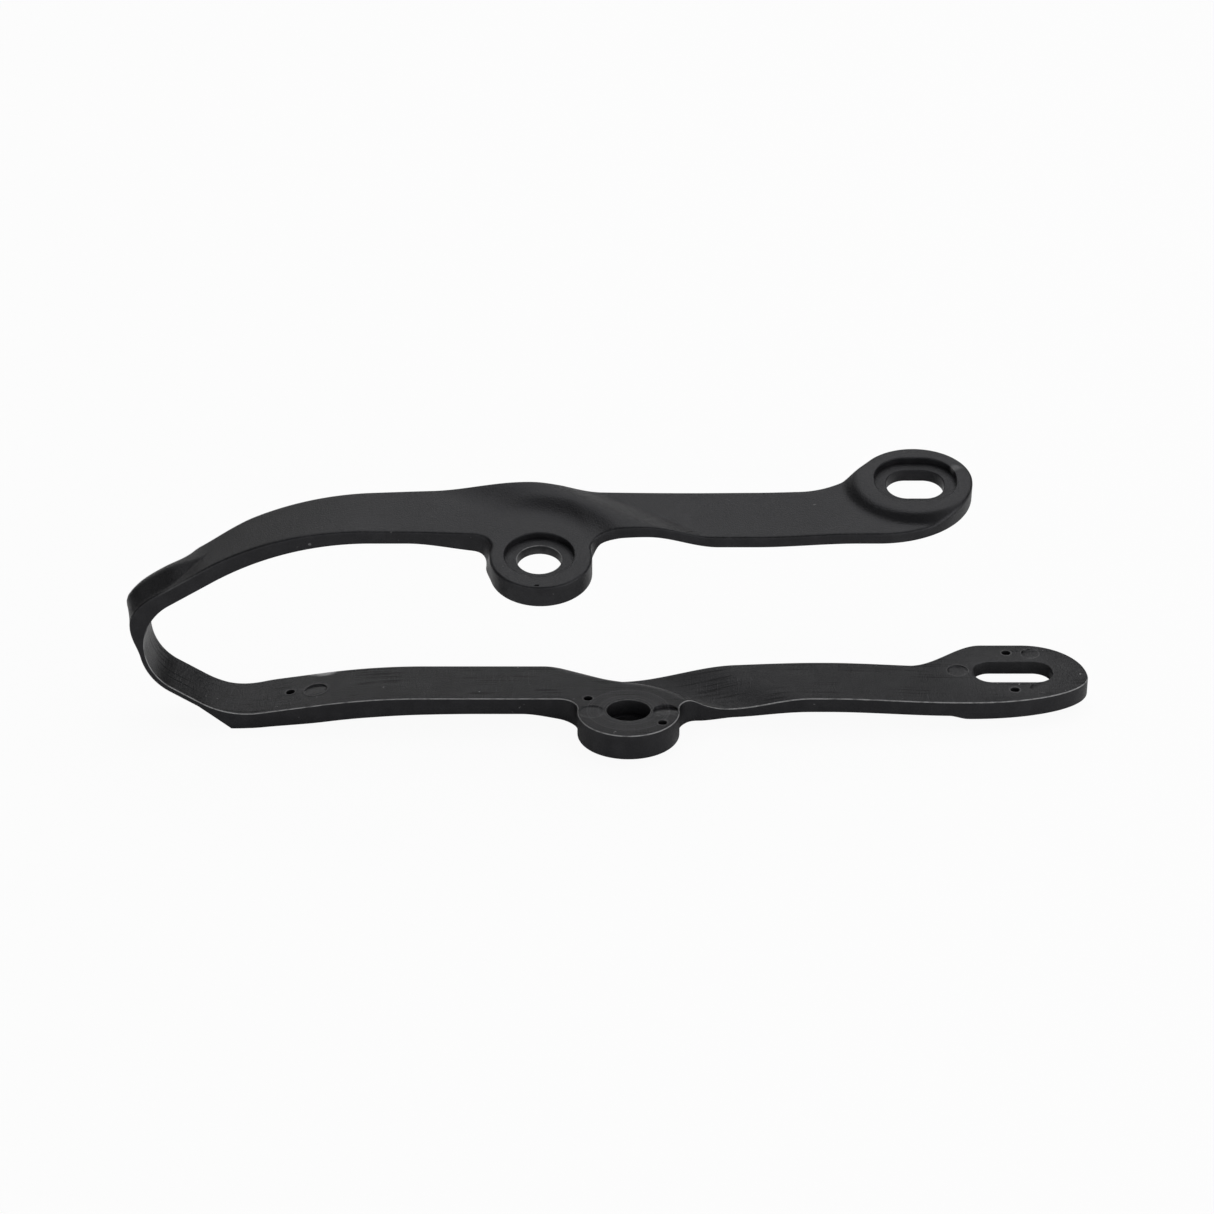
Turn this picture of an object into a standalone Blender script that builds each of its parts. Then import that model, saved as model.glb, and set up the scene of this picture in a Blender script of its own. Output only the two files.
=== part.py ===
"""Moulded chain slider for the front of a motorbike swingarm.

The slider is one moulding: a flat strap bent into a long U that wraps the
swingarm, with a bolt boss half way along each arm and a slotted lobe at the
end of each arm.  The strap is described as a flat blank, u along the strap
from the rear of the upper arm round the nose to the rear of the lower arm,
v across it from the near edge to the far edge, h through its thickness from
the inner face.  Every point of the blank is then bent onto the side profile.

All driving dimensions are in millimetres and degrees; the mesh is in metres.
"""

import math

import bmesh
import bpy
import numpy as np
from mathutils import Vector
from mathutils.geometry import delaunay_2d_cdt

MM = 0.001

# Strap
STRAP_WIDTH = 21.0
WAIST_DEPTH = 2.1
WAIST_START_X = -104.0
WAIST_END_X = -101.0
WAIST_RUN = 16.0
UPPER_TILT = 12.2
TILT_START_X = -135.0
TILT_END_X = -36.0
REAR_TILT = 13.5
REAR_TILT_START_X = -2.0
REAR_TILT_END_X = 60.0
OUTER_EDGE_ROUND = 0.8

# Side profile of the inner face, walked from the rear of the upper arm
UPPER_REAR_X = 112.0
UPPER_LEVEL = 51.1
UPPER_STRAIGHT = 181.8
SHOULDER_RADIUS = 93.0
SHOULDER_ANGLE = 30.4
FLANK_LENGTH = 15.7
NOSE_RADIUS = 15.9
RAMP_LENGTH = 9.8
RAMP_ANGLE = 31.4
HEEL_RADIUS = 26.0
RISE_ANGLE = 8.4
RISE_LENGTH = 18.4
EASE_RADIUS = 210.0
LOWER_STRAIGHT = 210.0

# Thickness of the strap along its length
UPPER_REAR_THICKNESS = 3.7
UPPER_MID_THICKNESS = 4.3
FLANK_THICKNESS = 5.0
NOSE_THICKNESS = 5.9
RAMP_THICKNESS = 1.8
HEEL_CORNER_SHARE = 0.57
HEEL_CORNER_THICKNESS = 5.7
HEEL_THICKNESS = 5.2
HEEL_EASE = 6.0
LOWER_FRONT_THICKNESS = 6.2
LOWER_MID_THICKNESS = 5.6
LOWER_REAR_THICKNESS = 5.1

# Crest crossing the upper arm behind its boss
CREST_NEAR_X = 12.0
CREST_FAR_X = -23.0
CREST_NEAR_RISE = 2.4
CREST_FAR_RISE = 3.5
CREST_FRONT_RUN = 30.0
CREST_REAR_RUN = 21.0
NEAR_SET_DOWN = 1.4
FAR_SET_DOWN = 0.7
SET_DOWN_FULL_X = 33.0
SET_DOWN_END_X = 74.0

# Dip crossing the lower arm behind its boss
DIP_NEAR_X = 36.0
DIP_FAR_X = 3.0
DIP_NEAR_DEPTH = 3.5
DIP_FAR_DEPTH = 5.4
DIP_NEAR_FRONT_RUN = 16.0
DIP_FAR_FRONT_RUN = 23.0
DIP_NEAR_REAR_RUN = 26.0
DIP_FAR_REAR_RUN = 36.0
DIP_OUTER_SHARE = 0.45

# Twist and droop of the lower arm behind its boss
LOWER_TWIST = 3.4
LOWER_TWIST_START_X = 22.0
LOWER_TWIST_END_X = 64.0
END_DROOP = 1.4
DROOP_START_X = 66.0
DROOP_END_X = 106.0

# Chain rib on the outside of the nose
RIB_HEIGHT = 2.9
RIB_FOOT_V = 0.9
RIB_TIP_V = 9.7
RIB_CREST_V = 8.5
RIB_START_X = -118.0
RIB_RUN = 15.0
RIB_END_HEADING = 256.0
RIB_FADE_LENGTH = 5.0
RIB_FAR_DROP = 2.0
RIB_DROP_START_X = -122.0
RIB_DROP_RUN = 10.0

# Upper boss
UPPER_BOSS_X = -19.4
UPPER_BOSS_V = -10.0
UPPER_BOSS_RADIUS = 15.0
UPPER_BOSS_FILLET = 5.6
UPPER_BOSS_THICKNESS = 6.9
UPPER_BOSS_SINK = 0.8
UPPER_BOSS_FRONT_SPREAD = 26.0
UPPER_BOSS_REAR_SPREAD = 5.0
UPPER_FOOT_FLARE = 1.6
UPPER_FOOT_FLARE_X = -34.5
UPPER_FOOT_FLARE_V = -5.5
UPPER_FOOT_FLARE_RUN = 8.5
UPPER_BOLT_X = -19.9
UPPER_BOLT_V = -9.2
UPPER_BOLT_BORE = 13.1
UPPER_RECESS_DIAMETER = 20.5
UPPER_RECESS_DEPTH = 2.0
UPPER_RELIEF_DIAMETER = 18.0
UPPER_RELIEF_DEPTH = 1.8

# Lower boss
LOWER_BOSS_X = 6.3
LOWER_BOSS_V = -7.9
LOWER_BOSS_RADIUS = 15.3
LOWER_BOSS_FILLET = 6.0
LOWER_BOSS_THICKNESS = 8.2
LOWER_BOSS_SPREAD = 18.0
LOWER_BOLT_X = 6.3
LOWER_BOLT_V = -7.0
LOWER_COLLAR_BORE = 13.1
LOWER_COLLAR_DEPTH = 4.9
LOWER_BOLT_BORE = 10.4

# Upper end lobe
UPPER_LOBE_X = 91.8
UPPER_LOBE_RISE = 8.1
UPPER_LOBE_HALF_LENGTH = 17.0
UPPER_LOBE_HALF_WIDTH = 15.0
UPPER_SHOULDER_ANGLE = 142.0
UPPER_SHOULDER_RUN = 11.0
UPPER_TAPER_START_X = 80.0
UPPER_LOBE_STEP = 2.4
UPPER_FLANK_RUN = 4.6
UPPER_SLOT_LENGTH = 17.2
UPPER_SLOT_WIDTH = 13.2
UPPER_SLOT_CORNER = 6.0
UPPER_SEAT_MARGIN = 3.6
UPPER_SEAT_DEPTH = 2.0

# Lower end lobe
LOWER_TIP_X = 146.3
LOWER_TIP_V = 15.3
LOWER_TAPER_START_X = 110.0
LOWER_LOBE_TOP_V = 33.6
LOWER_LOBE_START_X = 92.0
LOWER_LOBE_FULL_X = 115.0
LOWER_LOBE_ROUND_X = 127.5
LOWER_LOBE_THICKNESS = 6.2
LOWER_LOBE_RUN = 12.0
LOWER_SLOT_X = 123.7
LOWER_SLOT_V = 18.0
LOWER_SLOT_LENGTH = 24.2
LOWER_SLOT_WIDTH = 12.0
LOWER_SLOT_CORNER = 5.6
LOWER_SEAT_MARGIN = 4.0
LOWER_SEAT_DEPTH = 1.6

# Blind core-pin holes in the inner face of the lower arm
PIN_HOLE_DIAMETER = 2.7
PIN_HOLE_DEPTH = 1.5
FRONT_PIN_X = -96.5
FRONT_PIN_V = 11.0
BOSS_PIN_ONE_X = -5.8
BOSS_PIN_ONE_V = 0.2
BOSS_PIN_TWO_X = 16.4
BOSS_PIN_TWO_V = -14.9
END_PIN_FAR_X = 122.6
END_PIN_FAR_V = 29.0
END_PIN_NEAR_X = 123.4
END_PIN_NEAR_V = 7.4

# Facet sizes
LONG_FACET = 2.8
CROSS_FACET = 3.0
ARC_FACET_ANGLE = 10.0
BORE_FACETS = 40
PIN_FACETS = 10

# Plastic
PLASTIC_COLOUR = (0.045, 0.045, 0.047, 1.0)
PLASTIC_ROUGHNESS = 0.48
PLASTIC_METALLIC = 0.0

NODE_NAME = "chain_slider"


def smooth(value, start, end):
    """Smooth step from 0 at start to 1 at end, start and end in either order."""
    ratio = np.clip((np.asarray(value, float) - start) / (end - start), 0.0, 1.0)
    return ratio * ratio * (3.0 - 2.0 * ratio)


def hump(offset, front_run, rear_run):
    """Raised cosine of height 1 with its own run on each side of the middle."""
    offset = np.asarray(offset, float)
    run = np.where(offset < 0.0, front_run, rear_run)
    ratio = np.clip(np.abs(offset) / run, 0.0, 1.0)
    return 0.5 + 0.5 * np.cos(math.pi * ratio)


class SideProfile:
    """Inner face of the U seen from the side, a chain of lines and arcs."""

    def __init__(self):
        nose_angle = 180.0 - SHOULDER_ANGLE - RAMP_ANGLE
        heel_angle = RAMP_ANGLE + RISE_ANGLE
        self.corner_turn = HEEL_CORNER_SHARE * math.radians(heel_angle)
        legs = (
            (UPPER_STRAIGHT, 0.0),
            (math.radians(SHOULDER_ANGLE) * SHOULDER_RADIUS, 1.0 / SHOULDER_RADIUS),
            (FLANK_LENGTH, 0.0),
            (math.radians(nose_angle) * NOSE_RADIUS, 1.0 / NOSE_RADIUS),
            (RAMP_LENGTH, 0.0),
            (math.radians(heel_angle) * HEEL_RADIUS, 1.0 / HEEL_RADIUS),
            (RISE_LENGTH, 0.0),
            (math.radians(RISE_ANGLE) * EASE_RADIUS, -1.0 / EASE_RADIUS),
            (LOWER_STRAIGHT, 0.0),
        )
        start = 0.0
        heading = math.pi
        x, z = UPPER_REAR_X, UPPER_LEVEL
        self.legs = []
        for length, bend in legs:
            self.legs.append((start, length, bend, heading, x, z))
            turned = heading + bend * length
            if bend == 0.0:
                x += length * math.cos(heading)
                z += length * math.sin(heading)
            else:
                x += (math.sin(turned) - math.sin(heading)) / bend
                z -= (math.cos(turned) - math.cos(heading)) / bend
            heading = turned
            start += length
        self.length = start
        self.lower_start = self.legs[8][0]
        self.lower_x = self.legs[8][4]
        self.heel_u = self.legs[5][0] + HEEL_CORNER_SHARE * self.legs[5][1]
        self.nose_u = self.legs[3][0]

    def at(self, u):
        """Position and heading of the inner face at u."""
        u = np.asarray(u, float)
        x = np.zeros_like(u)
        z = np.zeros_like(u)
        heading = np.zeros_like(u)
        for start, length, bend, angle, x0, z0 in self.legs:
            last = start + length >= self.length - 1e-9
            here = (u >= start) & ((u < start + length) | last)
            if start == 0.0:
                here |= u < 0.0
            run = u[here] - start
            turned = angle + bend * run
            if bend == 0.0:
                x[here] = x0 + run * math.cos(angle)
                z[here] = z0 + run * math.sin(angle)
            else:
                x[here] = x0 + (np.sin(turned) - math.sin(angle)) / bend
                z[here] = z0 - (np.cos(turned) - math.cos(angle)) / bend
            heading[here] = turned
        return x, z, heading

    def upper_u(self, x):
        """Blank station of a point of the upper arm."""
        return UPPER_REAR_X - x

    def lower_u(self, x):
        """Blank station of a point of the lower arm, measured along the strap."""
        return self.lower_start + x - self.lower_x

    def nose_heading_u(self, degrees):
        """Blank station where the nose has turned to a heading."""
        turned = degrees - 180.0 - SHOULDER_ANGLE
        return self.nose_u + math.radians(turned) * NOSE_RADIUS


PROFILE = SideProfile()


def strap_tilt(u):
    """Lean of the strap across its width, in radians."""
    x_upper = UPPER_REAR_X - u
    x_lower = PROFILE.lower_x + u - PROFILE.lower_start
    upper = UPPER_TILT * smooth(x_upper, TILT_START_X, TILT_END_X)
    upper = upper + (REAR_TILT - UPPER_TILT) * smooth(x_upper, REAR_TILT_START_X, REAR_TILT_END_X)
    upper = np.where(u < PROFILE.nose_u, np.radians(upper), 0.0)
    lower = math.radians(LOWER_TWIST) * smooth(x_lower, LOWER_TWIST_START_X, LOWER_TWIST_END_X)
    lower = np.where(u > PROFILE.lower_start, lower, 0.0)
    return upper - lower


def far_edge(u):
    """Far edge of the strap, drawn in at the nose."""
    start = PROFILE.upper_u(WAIST_START_X)
    end = PROFILE.lower_u(WAIST_END_X)
    inside = smooth(u, start, start + WAIST_RUN) * smooth(u, end, end - WAIST_RUN)
    return STRAP_WIDTH - WAIST_DEPTH * inside


def lobe_centre_v():
    """Height of the upper end lobe's centre across the strap."""
    return UPPER_LOBE_RISE + UPPER_LOBE_HALF_WIDTH


def upper_boss_share(u, v):
    """Share of the upper boss in the strap, 1 on its disc and 0 away from it."""
    x_upper = UPPER_REAR_X - u
    boss = np.hypot(x_upper - UPPER_BOSS_X, v - UPPER_BOSS_V) - UPPER_BOSS_RADIUS
    behind = smooth(x_upper, UPPER_BOSS_X, UPPER_BOSS_X + UPPER_BOSS_RADIUS)
    run = UPPER_BOSS_FRONT_SPREAD + (UPPER_BOSS_REAR_SPREAD - UPPER_BOSS_FRONT_SPREAD) * behind
    return 1.0 - smooth(boss / run, 0.0, 1.0)


def inner_height(u, v):
    """Height of the inner face above the side profile."""
    x_upper = UPPER_REAR_X - u
    x_lower = PROFILE.lower_x + u - PROFILE.lower_start
    share = v / STRAP_WIDTH

    crest_x = CREST_NEAR_X + (CREST_FAR_X - CREST_NEAR_X) * share
    rise = CREST_NEAR_RISE + (CREST_FAR_RISE - CREST_NEAR_RISE) * share
    crest = rise * hump(x_upper - crest_x, CREST_FRONT_RUN, CREST_REAR_RUN)
    down = NEAR_SET_DOWN + (FAR_SET_DOWN - NEAR_SET_DOWN) * share
    down = down * smooth(x_upper, crest_x, SET_DOWN_FULL_X)
    down = down * smooth(x_upper, SET_DOWN_END_X, SET_DOWN_END_X - 30.0)
    boss = np.hypot(x_upper - UPPER_BOSS_X, v - UPPER_BOSS_V)
    clear = smooth(boss, UPPER_BOSS_RADIUS + 1.0, UPPER_BOSS_RADIUS + 11.0)
    upper = (crest - down) * clear - UPPER_BOSS_SINK * upper_boss_share(u, v)
    upper = upper - (UPPER_BOSS_THICKNESS - UPPER_MID_THICKNESS) * upper_boss_share(u, v)

    dip_x = DIP_NEAR_X + (DIP_FAR_X - DIP_NEAR_X) * share
    depth = DIP_NEAR_DEPTH + (DIP_FAR_DEPTH - DIP_NEAR_DEPTH) * share
    front = DIP_NEAR_FRONT_RUN + (DIP_FAR_FRONT_RUN - DIP_NEAR_FRONT_RUN) * share
    rear = DIP_NEAR_REAR_RUN + (DIP_FAR_REAR_RUN - DIP_NEAR_REAR_RUN) * share
    dip = depth * hump(x_lower - dip_x, front, rear)
    boss = np.hypot(x_lower - LOWER_BOSS_X, v - LOWER_BOSS_V)
    clear = smooth(boss, LOWER_BOSS_RADIUS + 0.5, LOWER_BOSS_RADIUS + 9.0)
    droop = END_DROOP * smooth(x_lower, DROOP_START_X, DROOP_END_X)
    lower = dip * clear + droop

    return np.where(u < PROFILE.nose_u, upper, np.where(u > PROFILE.heel_u, lower, 0.0))


def heel_thickness(u):
    """Thickness before the heel's corner, where the outer face is a straight line."""
    turn = np.clip((u - PROFILE.legs[5][0]) / HEEL_RADIUS, 0.0, PROFILE.corner_turn)
    corner = HEEL_RADIUS + HEEL_CORNER_THICKNESS
    foot = HEEL_RADIUS + RAMP_THICKNESS
    slope = corner * math.cos(PROFILE.corner_turn) - foot
    slope = slope / (corner * math.sin(PROFILE.corner_turn))
    return foot / (np.cos(turn) - slope * np.sin(turn)) - HEEL_RADIUS


def base_thickness(u):
    """Thickness of the plain strap at u."""
    x_upper = UPPER_REAR_X - u
    x_lower = PROFILE.lower_x + u - PROFILE.lower_start
    rear_share = smooth(x_upper, -32.0, 0.0)
    flank_share = smooth(x_upper, -60.0, -120.0)
    upper = UPPER_MID_THICKNESS + (UPPER_REAR_THICKNESS - UPPER_MID_THICKNESS) * rear_share
    upper = upper + (FLANK_THICKNESS - UPPER_MID_THICKNESS) * flank_share
    nose_share = smooth(u, PROFILE.nose_heading_u(210.0), PROFILE.nose_heading_u(242.0))
    upper = upper + (NOSE_THICKNESS - FLANK_THICKNESS) * nose_share
    thin_share = smooth(u, PROFILE.nose_heading_u(241.0), PROFILE.nose_heading_u(281.0))
    upper = upper + (RAMP_THICKNESS - NOSE_THICKNESS) * thin_share
    upper = upper + heel_thickness(u) - RAMP_THICKNESS
    after = 1.0 - np.clip((u - PROFILE.heel_u) / HEEL_EASE, 0.0, 1.0)
    lower = HEEL_THICKNESS + (HEEL_CORNER_THICKNESS - HEEL_THICKNESS) * after * after
    lower = lower + (LOWER_FRONT_THICKNESS - HEEL_THICKNESS) * smooth(x_lower, -110.0, -85.0)
    mid_share = smooth(x_lower, -74.0, -40.0)
    lower = lower + (LOWER_MID_THICKNESS - LOWER_FRONT_THICKNESS) * mid_share
    lower = lower + (LOWER_REAR_THICKNESS - LOWER_MID_THICKNESS) * smooth(x_lower, 0.0, 55.0)
    return np.where(u < PROFILE.heel_u, upper, lower)


def rib_height(u, v):
    """Height of the chain rib on the outside of the nose, with the drop behind it."""
    x_upper = UPPER_REAR_X - u
    past = u > PROFILE.nose_u
    growth = np.where(past, 1.0, smooth(x_upper, RIB_START_X, RIB_START_X - RIB_RUN))
    fall = smooth(x_upper, RIB_DROP_START_X, RIB_DROP_START_X - RIB_DROP_RUN)
    fall = np.where(past, 1.0, fall)
    fade_u = PROFILE.nose_heading_u(RIB_END_HEADING)
    fade = smooth(u, fade_u, fade_u - RIB_FADE_LENGTH)
    crest = RIB_TIP_V + (RIB_CREST_V - RIB_TIP_V) * growth
    flank = np.maximum((RIB_CREST_V - RIB_FOOT_V) * growth, 0.1)
    near = np.clip(1.0 - (crest - v) / flank, 0.0, 1.0)
    far = np.clip((v - crest) / (STRAP_WIDTH - WAIST_DEPTH - crest), 0.0, 1.0)
    rise = RIB_HEIGHT * growth
    drop = (rise + RIB_FAR_DROP * fall) * far * far
    return fade * np.where(v < crest, rise * near, rise - drop)


def outer_height(u, v):
    """Height of the outer face above the side profile."""
    x_upper = UPPER_REAR_X - u
    x_lower = PROFILE.lower_x + u - PROFILE.lower_start
    inner = inner_height(u, v)
    base = base_thickness(u)

    share = upper_boss_share(u, v)
    level = base + (UPPER_MID_THICKNESS - base) * share
    reach_x = (x_upper - UPPER_LOBE_X) / UPPER_LOBE_HALF_LENGTH
    reach_v = (v - lobe_centre_v()) / UPPER_LOBE_HALF_WIDTH
    foot = 1.0 + UPPER_FLANK_RUN / UPPER_LOBE_HALF_WIDTH
    step = UPPER_LOBE_STEP * smooth(np.hypot(reach_x, reach_v), foot, 1.0)
    upper = inner + level + (UPPER_BOSS_THICKNESS - UPPER_MID_THICKNESS) * share + step
    upper = upper + rib_height(u, v)

    boss = np.hypot(x_lower - LOWER_BOSS_X, v - LOWER_BOSS_V)
    share = smooth(boss, LOWER_BOSS_RADIUS + LOWER_BOSS_SPREAD, LOWER_BOSS_RADIUS)
    lift = smooth(x_lower, DROOP_START_X, DROOP_END_X) * END_DROOP
    dip = inner - lift
    end = smooth(x_lower, LOWER_LOBE_FULL_X - LOWER_LOBE_RUN, LOWER_LOBE_FULL_X - 6.0)
    end = end * (x_lower > 0.0)
    level = base + (LOWER_BOSS_THICKNESS - base) * share
    level = level + (LOWER_LOBE_THICKNESS - LOWER_REAR_THICKNESS) * end
    lower = lift + dip * DIP_OUTER_SHARE + level
    return np.where(u < PROFILE.heel_u, upper, lower)


def place(u, v, h):
    """Bend points of the blank onto the side profile; returns rows of x, y, z."""
    x, z, heading = PROFILE.at(u)
    tilt = strap_tilt(u)
    along_normal = h * np.cos(tilt) + v * np.sin(tilt)
    across = v * np.cos(tilt) - h * np.sin(tilt)
    px = x + np.sin(heading) * along_normal
    pz = z - np.cos(heading) * along_normal
    return np.stack([px, across, pz], axis=-1)


def arc_points(cx, cv, radius_x, radius_v, start, end):
    """Points of an elliptic arc, angles in degrees, both ends included."""
    steps = max(2, int(math.ceil(abs(end - start) / ARC_FACET_ANGLE)))
    angles = np.radians(np.linspace(start, end, steps + 1))
    return [(cx + radius_x * math.cos(a), cv + radius_v * math.sin(a)) for a in angles]


def line_points(start, end):
    """Points strictly between two ends, spaced by the long facet."""
    distance = math.hypot(end[0] - start[0], end[1] - start[1])
    steps = max(1, int(round(distance / LONG_FACET)))
    ratios = [i / steps for i in range(1, steps)]
    return [
        (start[0] + (end[0] - start[0]) * r, start[1] + (end[1] - start[1]) * r)
        for r in ratios
    ]


def boss_bulge(centre_x, centre_v, radius, fillet):
    """Outline of a boss standing out from the near edge, in rising x."""
    reach = math.sqrt((radius + fillet) ** 2 - (fillet + centre_v) ** 2)
    left = (centre_x - reach, -fillet)
    right = (centre_x + reach, -fillet)
    lean = math.degrees(math.atan2(-fillet - centre_v, reach))
    points = arc_points(left[0], left[1], fillet, fillet, 90.0, -lean)
    points += arc_points(centre_x, centre_v, radius, radius, 180.0 - lean, 360.0 + lean)[1:-1]
    points += arc_points(right[0], right[1], fillet, fillet, 180.0 + lean, 90.0)
    return points


def upper_end_outline():
    """Outline of the upper end from the near edge round the tip to the far edge."""
    cx, cv = UPPER_LOBE_X, lobe_centre_v()
    half_length, half_width = UPPER_LOBE_HALF_LENGTH, UPPER_LOBE_HALF_WIDTH
    tip_x = cx + half_length
    start_x = UPPER_TAPER_START_X
    points = arc_points(start_x, cv, tip_x - start_x, cv, -90.0, 0.0)
    points += arc_points(cx, cv, half_length, half_width, 0.0, UPPER_SHOULDER_ANGLE)[1:]
    lean = math.radians(UPPER_SHOULDER_ANGLE)
    leave_x = cx + half_length * math.cos(lean)
    leave_v = cv + half_width * math.sin(lean)
    slope_x = -half_length * math.sin(lean)
    slope_v = half_width * math.cos(lean)
    foot_x = leave_x + slope_x / slope_v * (STRAP_WIDTH - leave_v)
    end = (foot_x - UPPER_SHOULDER_RUN, STRAP_WIDTH)
    steps = 9
    for i in range(1, steps + 1):
        t = i / steps
        a, b, c = (1.0 - t) ** 2, 2.0 * t * (1.0 - t), t * t
        x = a * leave_x + b * foot_x + c * end[0]
        points.append((x, a * leave_v + b * STRAP_WIDTH + c * end[1]))
    return points


def lower_end_outline():
    """Outline of the lower end from the near edge round the tip to the far edge."""
    start_x = LOWER_TAPER_START_X
    points = arc_points(start_x, LOWER_TIP_V, LOWER_TIP_X - start_x, LOWER_TIP_V, -90.0, 0.0)
    top = LOWER_LOBE_TOP_V - LOWER_TIP_V
    run = LOWER_TIP_X - LOWER_LOBE_ROUND_X
    points += arc_points(LOWER_LOBE_ROUND_X, LOWER_TIP_V, run, top, 0.0, 90.0)[1:]
    points += line_points(points[-1], (LOWER_LOBE_FULL_X, LOWER_LOBE_TOP_V))
    steps = 9
    for i in range(steps + 1):
        ratio = i / steps
        x = LOWER_LOBE_FULL_X + (LOWER_LOBE_START_X - LOWER_LOBE_FULL_X) * ratio
        share = float(smooth(ratio, 1.0, 0.0))
        points.append((x, STRAP_WIDTH + (LOWER_LOBE_TOP_V - STRAP_WIDTH) * share))
    return points


def blank_outline():
    """Closed outline of the flat blank, in u and v."""
    upper = [(PROFILE.upper_u(x), v) for x, v in upper_end_outline()]
    upper_boss = boss_bulge(UPPER_BOSS_X, UPPER_BOSS_V, UPPER_BOSS_RADIUS, UPPER_BOSS_FILLET)
    upper_boss = [(PROFILE.upper_u(x), v) for x, v in reversed(upper_boss)]
    lower_boss = boss_bulge(LOWER_BOSS_X, LOWER_BOSS_V, LOWER_BOSS_RADIUS, LOWER_BOSS_FILLET)
    lower_boss = [(PROFILE.lower_u(x), v) for x, v in lower_boss]
    lower = [(PROFILE.lower_u(x), v) for x, v in lower_end_outline()]
    heel_near = (PROFILE.heel_u, 0.0)
    heel_far = (PROFILE.heel_u, STRAP_WIDTH)

    loop = []
    for run in (upper_boss, [heel_near], lower_boss, lower, [heel_far], list(upper[::-1])):
        if loop:
            loop += line_points(loop[-1], run[0])
        loop += run
    loop += line_points(loop[-1], loop[0])
    loop = np.array(loop)
    on_far_edge = np.abs(loop[:, 1] - STRAP_WIDTH) < 1e-9
    loop[on_far_edge, 1] = far_edge(loop[on_far_edge, 0])
    return loop


def foot_outline(loop):
    """Outline of the inner face, flared outwards in front of the upper boss."""
    x_upper = UPPER_REAR_X - loop[:, 0]
    reach = np.hypot(x_upper - UPPER_FOOT_FLARE_X, loop[:, 1] - UPPER_FOOT_FLARE_V)
    foot = loop.copy()
    foot[:, 0] += UPPER_FOOT_FLARE * hump(reach, UPPER_FOOT_FLARE_RUN, UPPER_FOOT_FLARE_RUN)
    return foot


def inset(loop, distance):
    """Closed loop moved inwards by a distance; the loop runs anticlockwise."""
    before = loop - np.roll(loop, 1, axis=0)
    after = np.roll(loop, -1, axis=0) - loop
    before = before / np.linalg.norm(before, axis=1, keepdims=True)
    after = after / np.linalg.norm(after, axis=1, keepdims=True)
    normal = np.stack([-(before + after)[:, 1], (before + after)[:, 0]], axis=1)
    half = np.linalg.norm(normal, axis=1, keepdims=True) / 2.0
    normal = normal / (2.0 * half)
    return loop + normal * distance / half


def ellipse_loop(cx, cv, radius, count):
    """Circle as a closed loop of the blank."""
    angles = np.arange(count) * 2.0 * math.pi / count
    return np.stack([cx + radius * np.cos(angles), cv + radius * np.sin(angles)], axis=1)


def slot_loop(cx, cv, length, width, corner, count):
    """Rounded slot as a closed loop, one point per even step of direction."""
    reach_x = length / 2.0 - corner
    reach_v = width / 2.0 - corner
    angles = (np.arange(count) + 0.5) * 2.0 * math.pi / count
    cosine, sine = np.cos(angles), np.sin(angles)
    x = cx + reach_x * np.sign(cosine) + corner * cosine
    v = cv + reach_v * np.sign(sine) + corner * sine
    return np.stack([x, v], axis=1)


def holds(points, loop):
    """Whether each point lies inside a closed loop."""
    x, y = points[:, 0][:, None], points[:, 1][:, None]
    ax, ay = loop[:, 0][None], loop[:, 1][None]
    bx, by = np.roll(loop[:, 0], -1)[None], np.roll(loop[:, 1], -1)[None]
    crosses = (ay > y) != (by > y)
    rise = np.where(by == ay, 1.0, by - ay)
    hit = ax + (y - ay) * (bx - ax) / rise
    return np.count_nonzero(crosses & (x < hit), axis=1) % 2 == 1


def distance_to(points, loop):
    """Distance from each point to the nearest side of a closed loop."""
    a, b = loop, np.roll(loop, -1, axis=0)
    along = b - a
    length = np.maximum((along * along).sum(axis=1), 1e-12)
    gap = points[:, None, :] - a[None]
    ratio = np.clip((gap * along[None]).sum(axis=2) / length[None], 0.0, 1.0)
    return np.linalg.norm(gap - ratio[..., None] * along[None], axis=2).min(axis=1)


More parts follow.
